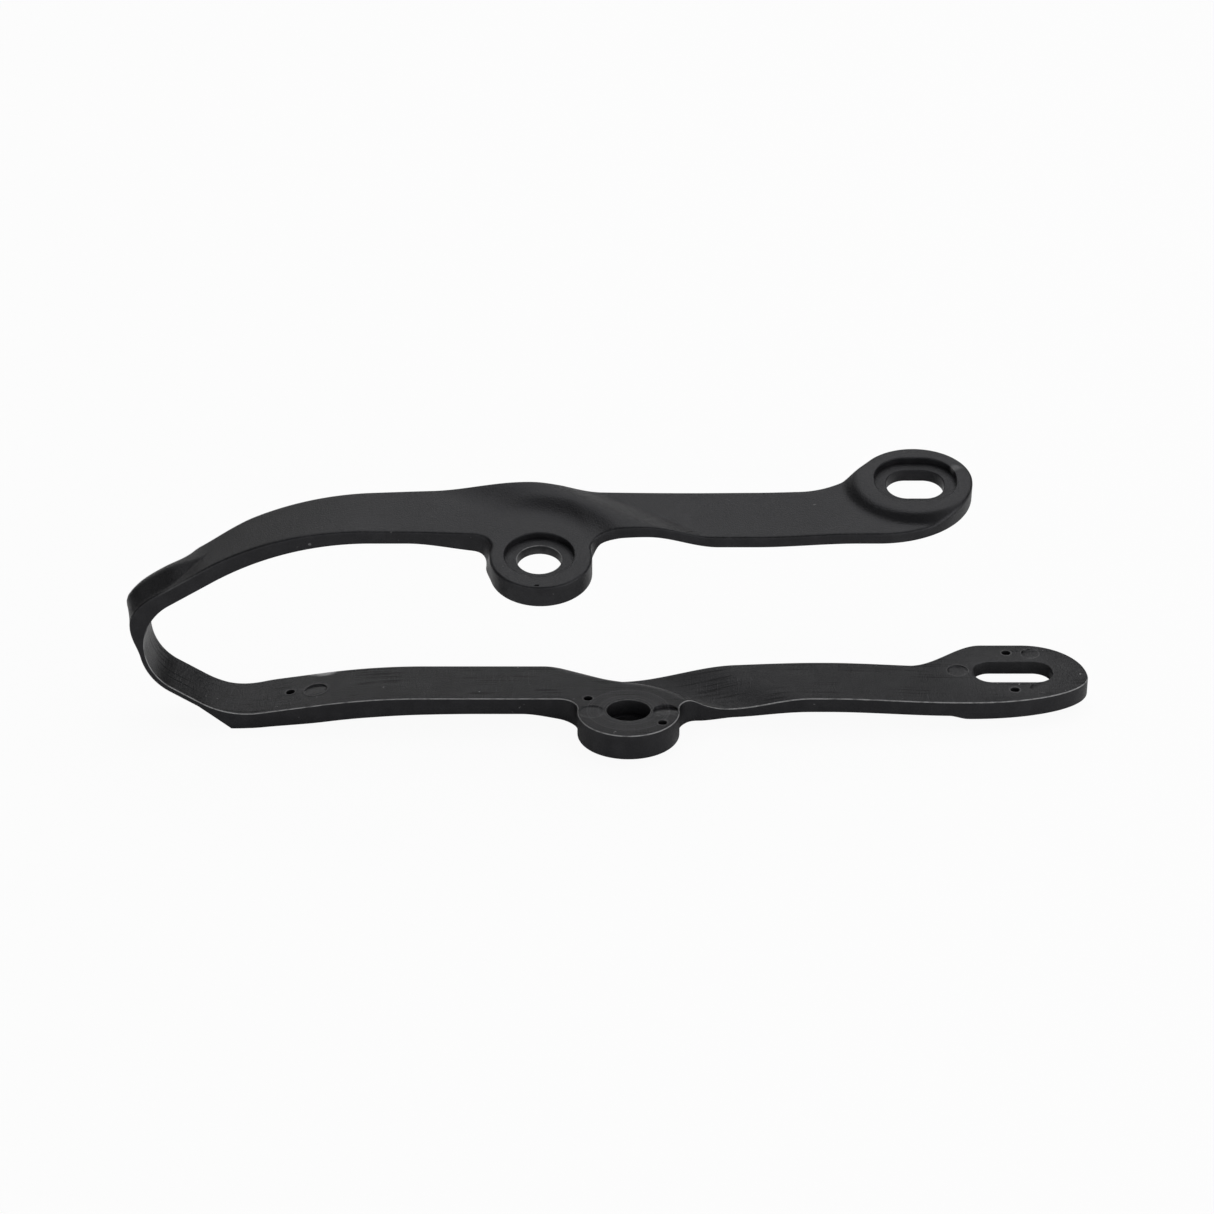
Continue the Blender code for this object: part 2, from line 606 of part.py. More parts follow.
class Skin:
    """Vertices and faces of the moulding while it is being built."""

    def __init__(self):
        self.points = []
        self.faces = []

    def add(self, flat, heights):
        """Add points of the blank at given heights; returns their numbers."""
        start = len(self.points)
        self.points += place(flat[:, 0], flat[:, 1], heights).tolist()
        return list(range(start, start + len(flat)))

    def band(self, first, second):
        """Join two closed loops of equal count with triangles."""
        count = len(first)
        for i in range(count):
            j = (i + 1) % count
            self.faces.append((first[i], first[j], second[j]))
            self.faces.append((first[i], second[j], second[i]))

    def cap(self, outline, outline_ids, holes, hole_ids, height, crease):
        """Fill between an outline and its holes over a height field."""
        lattice = self.lattice(outline, holes, crease)
        flat = np.concatenate([outline] + list(holes) + [lattice])
        ids = list(outline_ids)
        for numbers in hole_ids:
            ids += numbers
        ids += self.add(lattice, height(lattice[:, 0], lattice[:, 1]))
        edges = []
        start = 0
        for loop in [outline] + list(holes):
            count = len(loop)
            edges += [(start + i, start + (i + 1) % count) for i in range(count)]
            start += count
        on_crease = np.flatnonzero(np.abs(flat[:, 0] - crease) < 1e-6)
        on_crease = on_crease[np.argsort(flat[on_crease, 1])]
        edges += [(int(a), int(b)) for a, b in zip(on_crease[:-1], on_crease[1:])]
        result = delaunay_2d_cdt([Vector(p) for p in flat.tolist()], edges, [], 0, 1e-7)
        points, triangles, origins = result[0], result[2], result[3]
        spots = np.array([(p[0], p[1]) for p in points])
        triangles = np.array([t for t in triangles if len(t) == 3])
        middle = spots[triangles].mean(axis=1)
        keep = holds(middle, outline)
        for loop in holes:
            keep &= ~holds(middle, loop)
        for a, b, c in triangles[keep]:
            self.faces.append((ids[origins[a][0]], ids[origins[b][0]], ids[origins[c][0]]))

    def lattice(self, outline, holes, crease):
        """Even points inside the outline, clear of every edge."""
        low, high = outline.min(axis=0), outline.max(axis=0)
        rows = int(round(STRAP_WIDTH / CROSS_FACET))
        spacing = STRAP_WIDTH / rows
        v_start = math.floor(low[1] / spacing)
        v_end = math.ceil(high[1] / spacing)
        v_values = np.arange(v_start, v_end + 1) * spacing
        front = crease - np.arange(1, int((crease - low[0]) / LONG_FACET) + 1) * LONG_FACET
        back = crease + np.arange(0, int((high[0] - crease) / LONG_FACET) + 1) * LONG_FACET
        u_values = np.concatenate([front, back])
        grid_u, grid_v = np.meshgrid(u_values, v_values)
        points = np.stack([grid_u.ravel(), grid_v.ravel()], axis=1)
        keep = holds(points, outline) & (distance_to(points, outline) > 0.42 * LONG_FACET)
        for loop in holes:
            keep &= ~holds(points, loop) & (distance_to(points, loop) > 0.42 * LONG_FACET)
        return points[keep]


def moulding_mesh():
    """Points in millimetres and triangles of the whole moulding."""
    skin = Skin()
    outline = blank_outline()
    area = 0.5 * np.sum(
        outline[:, 0] * np.roll(outline[:, 1], -1) - np.roll(outline[:, 0], -1) * outline[:, 1]
    )
    if area < 0.0:
        outline = outline[::-1]
    crease = PROFILE.heel_u

    def outer_row(angle):
        lean = math.radians(angle)
        flat = inset(outline, OUTER_EDGE_ROUND * (1.0 - math.sin(lean)))
        drop = OUTER_EDGE_ROUND * (1.0 - math.cos(lean))
        return flat, skin.add(flat, outer_height(flat[:, 0], flat[:, 1]) - drop)

    top, top_ids = outer_row(0.0)
    round_ids = outer_row(45.0)[1]
    side_ids = outer_row(90.0)[1]
    foot = foot_outline(outline)
    base_ids = skin.add(foot, inner_height(foot[:, 0], foot[:, 1]))
    skin.band(top_ids, round_ids)
    skin.band(round_ids, side_ids)
    skin.band(side_ids, base_ids)

    upper_bolt = (PROFILE.upper_u(UPPER_BOLT_X), UPPER_BOLT_V)
    lower_bolt = (PROFILE.lower_u(LOWER_BOLT_X), LOWER_BOLT_V)
    upper_slot = (PROFILE.upper_u(UPPER_LOBE_X), lobe_centre_v())
    lower_slot = (PROFILE.lower_u(LOWER_SLOT_X), LOWER_SLOT_V)
    count = BORE_FACETS
    openings = (
        (
            ellipse_loop(*upper_bolt, UPPER_RECESS_DIAMETER / 2.0, count),
            ellipse_loop(*upper_bolt, UPPER_BOLT_BORE / 2.0, count),
            UPPER_RECESS_DEPTH,
            ellipse_loop(*upper_bolt, UPPER_RELIEF_DIAMETER / 2.0, count),
            UPPER_RELIEF_DEPTH,
        ),
        (
            None,
            ellipse_loop(*lower_bolt, LOWER_BOLT_BORE / 2.0, count),
            0.0,
            ellipse_loop(*lower_bolt, LOWER_COLLAR_BORE / 2.0, count),
            LOWER_COLLAR_DEPTH,
        ),
        (
            slot_loop(*upper_slot, UPPER_SLOT_LENGTH + 2.0 * UPPER_SEAT_MARGIN,
                      UPPER_SLOT_WIDTH + 2.0 * UPPER_SEAT_MARGIN,
                      UPPER_SLOT_CORNER + UPPER_SEAT_MARGIN, count),
            slot_loop(*upper_slot, UPPER_SLOT_LENGTH, UPPER_SLOT_WIDTH,
                      UPPER_SLOT_CORNER, count),
            UPPER_SEAT_DEPTH,
            None,
            0.0,
        ),
        (
            slot_loop(*lower_slot, LOWER_SLOT_LENGTH + 2.0 * LOWER_SEAT_MARGIN,
                      LOWER_SLOT_WIDTH + 2.0 * LOWER_SEAT_MARGIN,
                      LOWER_SLOT_CORNER + LOWER_SEAT_MARGIN, count),
            slot_loop(*lower_slot, LOWER_SLOT_LENGTH, LOWER_SLOT_WIDTH,
                      LOWER_SLOT_CORNER, count),
            LOWER_SEAT_DEPTH,
            None,
            0.0,
        ),
    )
    rims, rim_ids, bores, bore_ids = [], [], [], []
    for recess, bore, recess_depth, relief, relief_depth in openings:
        bore_top = skin.add(bore, outer_height(bore[:, 0], bore[:, 1]) - recess_depth)
        bore_base = skin.add(bore, inner_height(bore[:, 0], bore[:, 1]) + relief_depth)
        skin.band(bore_top, bore_base)
        rim, rim_top = bore, bore_top
        if recess is not None:
            rim = recess
            rim_floor = skin.add(rim, outer_height(rim[:, 0], rim[:, 1]) - recess_depth)
            rim_top = skin.add(rim, outer_height(rim[:, 0], rim[:, 1]))
            skin.band(bore_top, rim_floor)
            skin.band(rim_floor, rim_top)
        rims.append(rim)
        rim_ids.append(rim_top)
        mouth, mouth_ids = bore, bore_base
        if relief is not None:
            mouth = relief
            roof = skin.add(mouth, inner_height(mouth[:, 0], mouth[:, 1]) + relief_depth)
            mouth_ids = skin.add(mouth, inner_height(mouth[:, 0], mouth[:, 1]))
            skin.band(bore_base, roof)
            skin.band(roof, mouth_ids)
        bores.append(mouth)
        bore_ids.append(mouth_ids)

    pins = (
        (FRONT_PIN_X, FRONT_PIN_V),
        (BOSS_PIN_ONE_X, BOSS_PIN_ONE_V),
        (BOSS_PIN_TWO_X, BOSS_PIN_TWO_V),
        (END_PIN_FAR_X, END_PIN_FAR_V),
        (END_PIN_NEAR_X, END_PIN_NEAR_V),
    )
    for x, v in pins:
        loop = ellipse_loop(PROFILE.lower_u(x), v, PIN_HOLE_DIAMETER / 2.0, PIN_FACETS)
        mouth = skin.add(loop, inner_height(loop[:, 0], loop[:, 1]))
        floor = skin.add(loop, inner_height(loop[:, 0], loop[:, 1]) + PIN_HOLE_DEPTH)
        skin.band(mouth, floor)
        for i in range(1, PIN_FACETS - 1):
            skin.faces.append((floor[0], floor[i], floor[i + 1]))
        bores.append(loop)
        bore_ids.append(mouth)

    skin.cap(top, top_ids, rims, rim_ids, outer_height, crease)
    skin.cap(foot, base_ids, bores, bore_ids, inner_height, crease)
    return np.array(skin.points), skin.faces


def plastic():
    """Satin black moulded plastic."""
    material = bpy.data.materials.new("black_plastic")
    material.use_nodes = True
    shader = next(n for n in material.node_tree.nodes if n.type == "BSDF_PRINCIPLED")
    shader.inputs["Base Color"].default_value = PLASTIC_COLOUR
    shader.inputs["Roughness"].default_value = PLASTIC_ROUGHNESS
    shader.inputs["Metallic"].default_value = PLASTIC_METALLIC
    material.diffuse_color = PLASTIC_COLOUR
    return material


def build_chain_slider():
    """Create the moulding as one object standing on z = 0."""
    points, faces = moulding_mesh()
    low, high = points.min(axis=0), points.max(axis=0)
    middle = np.array([(low[0] + high[0]) / 2.0, (low[1] + high[1]) / 2.0, low[2]])
    points = (points - middle) * MM
    mesh = bpy.data.meshes.new(NODE_NAME)
    mesh.from_pydata(points.tolist(), [], faces)
    shape = bmesh.new()
    shape.from_mesh(mesh)
    bmesh.ops.recalc_face_normals(shape, faces=shape.faces)
    shape.to_mesh(mesh)
    shape.free()
    mesh.materials.append(plastic())
    mesh.shade_smooth()
    mesh.set_sharp_from_angle(angle=math.radians(32.0))
    item = bpy.data.objects.new(NODE_NAME, mesh)
    bpy.context.scene.collection.objects.link(item)
    return item


for old in list(bpy.data.objects):
    bpy.data.objects.remove(old, do_unlink=True)

build_chain_slider()
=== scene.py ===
"""Dressed model of a moulded chain slider for the front of a swingarm.

The slider is one moulding: a strap bent into a long U, a bolt boss half way
along each arm and a slotted lobe at each open end.  It is worked out on a flat
blank, u along the strap from the rear of the upper arm round the nose to the
rear of the lower arm, v across it from the near edge to the far edge, and h
through it from the inner face.  Every point of the blank is then bent onto the
side profile.  Sizes are in millimetres and degrees until the mesh is made.
"""

import logging
import math
from dataclasses import dataclass, field, replace
from enum import Enum
from functools import cached_property

import bmesh
import bpy
import numpy as np
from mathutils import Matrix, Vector
from mathutils.geometry import delaunay_2d_cdt

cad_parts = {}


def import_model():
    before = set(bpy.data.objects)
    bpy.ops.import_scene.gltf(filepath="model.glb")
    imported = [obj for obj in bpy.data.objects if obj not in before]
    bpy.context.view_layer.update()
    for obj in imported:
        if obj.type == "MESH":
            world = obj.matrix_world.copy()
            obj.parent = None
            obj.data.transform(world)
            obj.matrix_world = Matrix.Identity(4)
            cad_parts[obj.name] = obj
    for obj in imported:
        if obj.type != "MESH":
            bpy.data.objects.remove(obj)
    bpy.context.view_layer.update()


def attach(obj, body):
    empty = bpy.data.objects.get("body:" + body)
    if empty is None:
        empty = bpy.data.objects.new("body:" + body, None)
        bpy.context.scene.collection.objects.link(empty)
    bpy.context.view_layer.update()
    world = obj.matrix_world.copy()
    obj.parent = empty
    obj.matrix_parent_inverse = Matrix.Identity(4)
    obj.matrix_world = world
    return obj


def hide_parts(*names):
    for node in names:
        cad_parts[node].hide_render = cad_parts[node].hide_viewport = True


LOG = logging.getLogger("chain_slider")
MM = 0.001
NODE = "chain_slider"
BODY = "root"

EDGE_ANGLES = (0.0, 18.0, 36.0, 54.0, 72.0, 90.0)
RIM_ANGLES = (0.0, 22.5, 45.0, 67.5, 90.0)

Array = np.ndarray


class Face(Enum):
    """Side of the strap that a height is measured from."""

    OUTER = "outer"
    INNER = "inner"


class Region(Enum):
    """Part of the skin that takes a finish of its own."""

    OUTER_SKIN = 0
    INNER_SKIN = 1
    SIDE_WALL = 2


def smooth(value: Array, start: Array | float, end: Array | float) -> Array:
    """Smooth step: the ratio t between start and end, cut to 0..1, as 3t^2 - 2t^3.

    Args:
        value: Where the step is read.
        start: Value at which the step is 0.
        end: Value at which the step is 1, above or below start.

    Returns:
        The step at each value.
    """
    ratio = np.clip((np.asarray(value, float) - start) / (end - start), 0.0, 1.0)
    return ratio * ratio * (3.0 - 2.0 * ratio)


def hump(offset: Array, front_run: Array | float, rear_run: Array | float) -> Array:
    """Raised cosine (1 + cos(pi d / run)) / 2, with its own run on each side.

    Args:
        offset: Distance d from the middle of the hump.
        front_run: Run where the offset is negative.
        rear_run: Run where the offset is positive.

    Returns:
        Height of the hump, 1 in its middle and 0 past its run.
    """
    offset = np.asarray(offset, float)
    run = np.where(offset < 0.0, front_run, rear_run)
    return 0.5 + 0.5 * np.cos(math.pi * np.clip(np.abs(offset) / run, 0.0, 1.0))


@dataclass(frozen=True)
class Leg:
    """One line or arc of the side profile."""

    start: float
    length: float
    bend: float
    heading: float
    x: float
    z: float


@dataclass(frozen=True)
class SideProfile:
    """Inner face of the U seen from the side, a chain of lines and arcs."""

    upper_rear_x: float = 112.0
    upper_level: float = 51.1
    upper_straight: float = 181.8
    shoulder_radius: float = 93.0
    shoulder_angle: float = 30.4
    flank_length: float = 15.7
    nose_radius: float = 15.9
    ramp_length: float = 9.8
    ramp_angle: float = 31.4
    heel_radius: float = 26.0
    heel_corner_share: float = 0.57
    rise_angle: float = 8.4
    rise_length: float = 18.4
    ease_radius: float = 210.0
    lower_straight: float = 210.0

    @cached_property
    def legs(self) -> tuple[Leg, ...]:
        """Lines and arcs in order; an arc turns the heading by its length over its radius.

        Returns:
            The nine legs, from the rear of the upper arm to that of the lower.
        """
        nose_angle = 180.0 - self.shoulder_angle - self.ramp_angle
        heel_angle = self.ramp_angle + self.rise_angle
        plan = (
            (self.upper_straight, 0.0),
            (math.radians(self.shoulder_angle) * self.shoulder_radius, 1.0 / self.shoulder_radius),
            (self.flank_length, 0.0),
            (math.radians(nose_angle) * self.nose_radius, 1.0 / self.nose_radius),
            (self.ramp_length, 0.0),
            (math.radians(heel_angle) * self.heel_radius, 1.0 / self.heel_radius),
            (self.rise_length, 0.0),
            (math.radians(self.rise_angle) * self.ease_radius, -1.0 / self.ease_radius),
            (self.lower_straight, 0.0),
        )
        start, heading = 0.0, math.pi
        x, z = self.upper_rear_x, self.upper_level
        legs = []
        for length, bend in plan:
            legs.append(Leg(start, length, bend, heading, x, z))
            turned = heading + bend * length
            if bend == 0.0:
                x += length * math.cos(heading)
                z += length * math.sin(heading)
            else:
                x += (math.sin(turned) - math.sin(heading)) / bend
                z -= (math.cos(turned) - math.cos(heading)) / bend
            heading = turned
            start += length
        return tuple(legs)

    @property
    def lower_start(self) -> float:
        """Station where the lower arm's straight begins."""
        return self.legs[8].start

    @property
    def lower_x(self) -> float:
        """Place along X where the lower arm's straight begins."""
        return self.legs[8].x

    @property
    def heel_start(self) -> float:
        """Station where the heel begins to turn."""
        return self.legs[5].start

    @property
    def corner_turn(self) -> float:
        """Turn of the inner face from the start of the heel to its corner, in radians."""
        return self.heel_corner_share * math.radians(self.ramp_angle + self.rise_angle)

    @property
    def heel_u(self) -> float:
        """Station of the heel's corner."""
        return self.heel_start + self.corner_turn * self.heel_radius

    @property
    def nose_u(self) -> float:
        """Station where the nose begins to turn."""
        return self.legs[3].start

    def at(self, u: Array) -> tuple[Array, Array, Array]:
        """Place and heading of the inner face.

        On a line the place is the start plus the run along the heading; on an
        arc of bend b it is the start plus (sin, -cos) of the turned heading
        less that of the first, over b.

        Args:
            u: Stations along the blank.

        Returns:
            X, Z and heading at each station.
        """
        u = np.asarray(u, float)
        x, z, heading = np.zeros_like(u), np.zeros_like(u), np.zeros_like(u)
        last = self.legs[-1]
        for leg in self.legs:
            here = (u >= leg.start) & ((u < leg.start + leg.length) | (leg is last))
            if leg.start == 0.0:
                here |= u < 0.0
            run = u[here] - leg.start
            turned = leg.heading + leg.bend * run
            if leg.bend == 0.0:
                x[here] = leg.x + run * math.cos(leg.heading)
                z[here] = leg.z + run * math.sin(leg.heading)
            else:
                x[here] = leg.x + (np.sin(turned) - math.sin(leg.heading)) / leg.bend
                z[here] = leg.z - (np.cos(turned) - math.cos(leg.heading)) / leg.bend
            heading[here] = turned
        return x, z, heading

    def upper_u(self, x: float) -> float:
        """Station of a point of the upper arm."""
        return self.upper_rear_x - x

    def lower_u(self, x: float) -> float:
        """Station of a point of the lower arm."""
        return self.lower_start + x - self.lower_x

    def upper_x(self, u: Array) -> Array:
        """Place along the upper arm, run on straight past its end."""
        return self.upper_rear_x - u

    def lower_run(self, u: Array) -> Array:
        """Place along the lower arm, run on straight past its end."""
        return self.lower_x + u - self.lower_start

    def nose_heading_u(self, degrees: float) -> float:
        """Station where the nose has turned to a heading."""
        turned = degrees - 180.0 - self.shoulder_angle
        return self.nose_u + math.radians(turned) * self.nose_radius


@dataclass(frozen=True)
class Strap:
    """Width, lean and edge rounds of the strap."""

    width: float = 21.0
    waist_depth: float = 2.1
    waist_start_x: float = -104.0
    waist_end_x: float = -101.0
    waist_run: float = 16.0
    upper_tilt: float = 12.2
    tilt_start_x: float = -135.0
    tilt_end_x: float = -36.0
    rear_tilt: float = 13.5
    rear_tilt_start_x: float = -2.0
    rear_tilt_end_x: float = 60.0
    outer_round: float = 0.8
    inner_round: float = 0.3


@dataclass(frozen=True)
class Thickness:
    """Thickness of the strap, and the places between which it changes.

    The arms change between places along X, the nose between headings.
    """

    upper_rear: float = 3.7
    upper_mid: float = 4.3
    flank: float = 5.0
    nose: float = 5.9
    ramp: float = 1.8
    heel_corner: float = 5.7
    heel: float = 5.2
    heel_ease: float = 6.0
    lower_front: float = 6.2
    lower_mid: float = 5.6
    lower_rear: float = 5.1
    upper_rear_x: tuple[float, float] = (-32.0, 0.0)
    flank_x: tuple[float, float] = (-60.0, -120.0)
    nose_headings: tuple[float, float] = (210.0, 242.0)
    ramp_headings: tuple[float, float] = (241.0, 281.0)
    lower_front_x: tuple[float, float] = (-110.0, -85.0)
    lower_mid_x: tuple[float, float] = (-74.0, -40.0)
    lower_rear_x: tuple[float, float] = (0.0, 55.0)


@dataclass(frozen=True)
class Crest:
    """Crest that crosses the upper arm behind its boss, and the set-down past it."""

    near_x: float = 12.0
    far_x: float = -23.0
    near_rise: float = 2.4
    far_rise: float = 3.5
    front_run: float = 30.0
    rear_run: float = 21.0
    near_set_down: float = 1.4
    far_set_down: float = 0.7
    full_x: float = 33.0
    end_x: float = 74.0
    end_run: float = 30.0
    boss_gap: float = 1.0
    boss_run: float = 11.0


@dataclass(frozen=True)
class Dip:
    """Dip that crosses the lower arm behind its boss."""

    near_x: float = 36.0
    far_x: float = 3.0
    near_depth: float = 3.5
    far_depth: float = 5.4
    near_front_run: float = 16.0
    far_front_run: float = 23.0
    near_rear_run: float = 26.0
    far_rear_run: float = 36.0
    outer_share: float = 0.45
    boss_gap: float = 0.5
    boss_run: float = 9.0


@dataclass(frozen=True)
class RearLean:
    """Twist and droop of the lower arm behind its boss."""

    twist: float = 3.4
    twist_start_x: float = 22.0
    twist_end_x: float = 64.0
    droop: float = 1.4
    droop_start_x: float = 66.0
    droop_end_x: float = 106.0


@dataclass(frozen=True)
class Rib:
    """Chain rib on the outside of the nose, and the drop of the strap behind it."""

    height: float = 2.9
    foot_v: float = 0.9
    tip_v: float = 9.7
    crest_v: float = 8.5
    start_x: float = -118.0
    run: float = 15.0
    end_heading: float = 256.0
    fade_length: float = 5.0
    far_drop: float = 2.0
    drop_start_x: float = -122.0
    drop_run: float = 10.0
    least_flank: float = 0.1


@dataclass(frozen=True)
class Flare:
    """Flare of the inner face's outline in front of the upper boss."""

    size: float = 1.6
    x: float = -34.5
    v: float = -5.5
    run: float = 8.5


@dataclass(frozen=True)
class Boss:
    """Round boss that stands out from the strap's near edge."""

    x: float
    v: float
    radius: float
    fillet: float
    thickness: float
    front_spread: float
    rear_spread: float
    sink: float
    bolt_x: float
    bolt_v: float


@dataclass(frozen=True)
class UpperLobe:
    """Raised slotted lobe at the rear of the upper arm."""

    x: float = 91.8
    rise: float = 8.1
    half_length: float = 17.0
    half_width: float = 15.0
    shoulder_angle: float = 142.0
    shoulder_run: float = 11.0
    taper_start_x: float = 80.0
    step: float = 2.4
    flank_run: float = 4.6

    @property
    def v(self) -> float:
        """Height of the lobe's centre across the strap."""
        return self.rise + self.half_width


@dataclass(frozen=True)
class LowerLobe:
    """Slotted lobe at the rear of the lower arm."""

    tip_x: float = 146.3
    tip_v: float = 15.3
    taper_start_x: float = 110.0
    top_v: float = 33.6
    start_x: float = 92.0
    full_x: float = 115.0
    round_x: float = 127.5
    thickness: float = 6.2
    thick_start: float = 12.0
    thick_end: float = 6.0


UPPER_BOSS = Boss(
    x=-19.4, v=-10.0, radius=15.0, fillet=5.6, thickness=6.9,
    front_spread=26.0, rear_spread=5.0, sink=0.8, bolt_x=-19.9, bolt_v=-9.2,
)
LOWER_BOSS = Boss(
    x=6.3, v=-7.9, radius=15.3, fillet=6.0, thickness=8.2,
    front_spread=18.0, rear_spread=18.0, sink=0.0, bolt_x=6.3, bolt_v=-7.0,
)


@dataclass(frozen=True)
class Mark:
    """Round mark that an ejector pin left in the inner face.

    Its face lies a little below the skin, inside a narrow sloping edge.
    """

    u: float
    v: float
    radius: float
    depth: float
    lean_u: float = 0.0
    lean_v: float = 0.0
    rim: float = 0.0
    edge: float = 0.16
    rim_width: float = 0.22
    rim_worn: float = 0.35

    def rim_share(self, u: Array, v: Array) -> Array:
        """Share of the raised rim: 1 on its ridge, falling to 0 at both sides."""
        reach = np.hypot(u - self.u, v - self.v)
        return np.clip(1.0 - np.abs(reach - self.radius - self.rim_width) / self.rim_width, 0.0, 1.0)

    def wear_and_highlight_share(self, u: Array, v: Array) -> Array:
        """Share of a pale line on the rim, none where there is no rim."""
        return self.rim_share(u, v) * (self.rim_worn if self.rim > 0.0 else 0.0)

    def drop(self, u: Array, v: Array) -> Array:
        """Leaning depth times a step from the edge's outside to its inside, less the rim.

        Args:
            u: Stations along the strap.
            v: Places across the strap.

        Returns:
            Depth of the mark, negative on its rim.
        """
        reach = np.hypot(u - self.u, v - self.v)
        depth = self.depth + self.lean_u * (u - self.u) + self.lean_v * (v - self.v)
        depth = np.maximum(depth, 0.0)
        step = depth * smooth(reach, self.radius, self.radius - self.edge)
        return step - self.rim * self.rim_share(u, v)

    def loops(self, spacing: float) -> list[Array]:
        """Circles at both sides and the ridge of the rim and inside the mark's edge.

        Args:
            spacing: Distance between points.

        Returns:
            The circles, as rows of u and v.
        """
        count = max(24, int(2.0 * math.pi * self.radius / spacing))
        reaches = (0.0, -self.edge)
        if self.rim > 0.0:
            reaches = (2.0 * self.rim_width, self.rim_width) + reaches
        return [circle(self.u, self.v, self.radius + reach, count) for reach in reaches]


@dataclass(frozen=True)
class ScuffAndSheen:
    """Pale patch on one face, an ellipse that fades out at its rim: some patches are abrasion, others
    painted sheen.
    """

    face: Face
    u: float
    v: float
    half_u: float
    half_v: float
    share: float

    def share_at(self, u: Array, v: Array) -> Array:
        """Share times a smooth step of the ellipse's own distance."""
        reach = np.hypot((u - self.u) / self.half_u, (v - self.v) / self.half_v)
        return self.share * smooth(reach, 1.0, 0.5)


@dataclass(frozen=True)
class EdgeWearAndHighlight:
    """Where the strap's rounded edges get a pale line: a painted highlight by the rib, and on the lower
    arm's inner edges partly abrasion, partly painted highlight.

    Each pair of runs, from the rib's start or the nose's, is where a smooth
    step begins and ends.
    """

    # Pale line painted as a highlight along the rib's near outer edge.
    rib_highlight_share: float = 0.16
    rib_near_v: float = 4.0
    rib_start: tuple[float, float] = (-4.0, 14.0)
    rib_end: tuple[float, float] = (2.0, -4.0)
    lower_start: tuple[float, float] = (4.0, 16.0)

    def outer(self, loop: Array, rib_u: float, nose_u: float) -> Array:
        """Share of a painted highlight on the outer edge: only beside the rib, on the near side.

        Args:
            loop: Rows of u and v.
            rib_u: Station where the rib starts.
            nose_u: Station where the nose starts.

        Returns:
            Share of the painted highlight at each point.
        """
        ridge = smooth(loop[:, 0], rib_u + self.rib_start[0], rib_u + self.rib_start[1])
        ridge = ridge * smooth(loop[:, 0], nose_u + self.rib_end[0], nose_u + self.rib_end[1])
        return self.rib_highlight_share * ridge * (loop[:, 1] < self.rib_near_v)

    def inner(self, loop: Array, nose_u: float) -> Array:
        """Share of a pale line on the inner edge, partly abrasion, partly painted highlight: from the
        nose on, along the lower arm.
        """
        return smooth(loop[:, 0], nose_u + self.lower_start[0], nose_u + self.lower_start[1])


@dataclass(frozen=True)
class Ring:
    """One ring of an opening: how far outside the bore, and how deep below a face."""

    outward: float
    face: Face
    depth: float
    wear_and_highlight: float = 0.0

    @property
    def lift(self) -> float:
        """Depth as a change of height, downwards on the outer face."""
        return -self.depth if self.face is Face.OUTER else self.depth


def circle(u: float, v: float, radius: float, count: int) -> Array:
    """Circle on the blank: centre plus radius times (cos, sin) of even angles.

    Args:
        u: Centre along the strap.
        v: Centre across the strap.
        radius: Radius of the circle.
        count: Number of points.

    Returns:
        Rows of u and v, anticlockwise.
    """
    angles = np.arange(count) * 2.0 * math.pi / count
    return np.stack([u + radius * np.cos(angles), v + radius * np.sin(angles)], axis=1)


@dataclass(frozen=True)
class Opening:
    """Round or slotted hole with the rings that it is built from."""

    u: float
    v: float
    length: float
    width: float
    corner: float
    rings: tuple[Ring, ...]
    count: int = 120
    blind: bool = False

    def loop(self, outward: float) -> Array:
        """Outline of the hole, grown outwards on every side.

        Each point is a corner circle's centre plus the grown corner radius
        times (cos, sin); the centre's signs follow those of the cosine and sine.

        Args:
            outward: How far the outline is grown.

        Returns:
            Rows of u and v, anticlockwise.
        """
        angles = (np.arange(self.count) + 0.5) * 2.0 * math.pi / self.count
        cosine, sine = np.cos(angles), np.sin(angles)
        reach_u = self.length / 2.0 - self.corner
        reach_v = self.width / 2.0 - self.corner
        radius = self.corner + outward
        u = self.u + reach_u * np.sign(cosine) + radius * cosine
        v = self.v + reach_v * np.sign(sine) + radius * sine
        return np.stack([u, v], axis=1)


def rounded(
    outward: float, face: Face, depth: float, radius: float, opens: bool, wear_and_highlight: float = 0.0
) -> list[Ring]:
    """Rings of a rounded rim, a quarter circle between a flat and a wall.

    Args:
        outward: Where the wall stands.
        face: Face that the depths are measured from.
        depth: Depth of the flat.
        radius: Radius of the rim.
        opens: True where the rings run from the flat to the wall.
        wear_and_highlight: Share of a pale line on the rim.

    Returns:
        The rings in order.
    """
    angles = [math.radians(a) for a in RIM_ANGLES]
    rings = [
        Ring(
            outward + radius * (1.0 - math.sin(a)), face,
            depth + radius * (1.0 - math.cos(a)), wear_and_highlight * math.sin(2.0 * a),
        )
        for a in angles
    ]
    return rings if opens else rings[::-1]


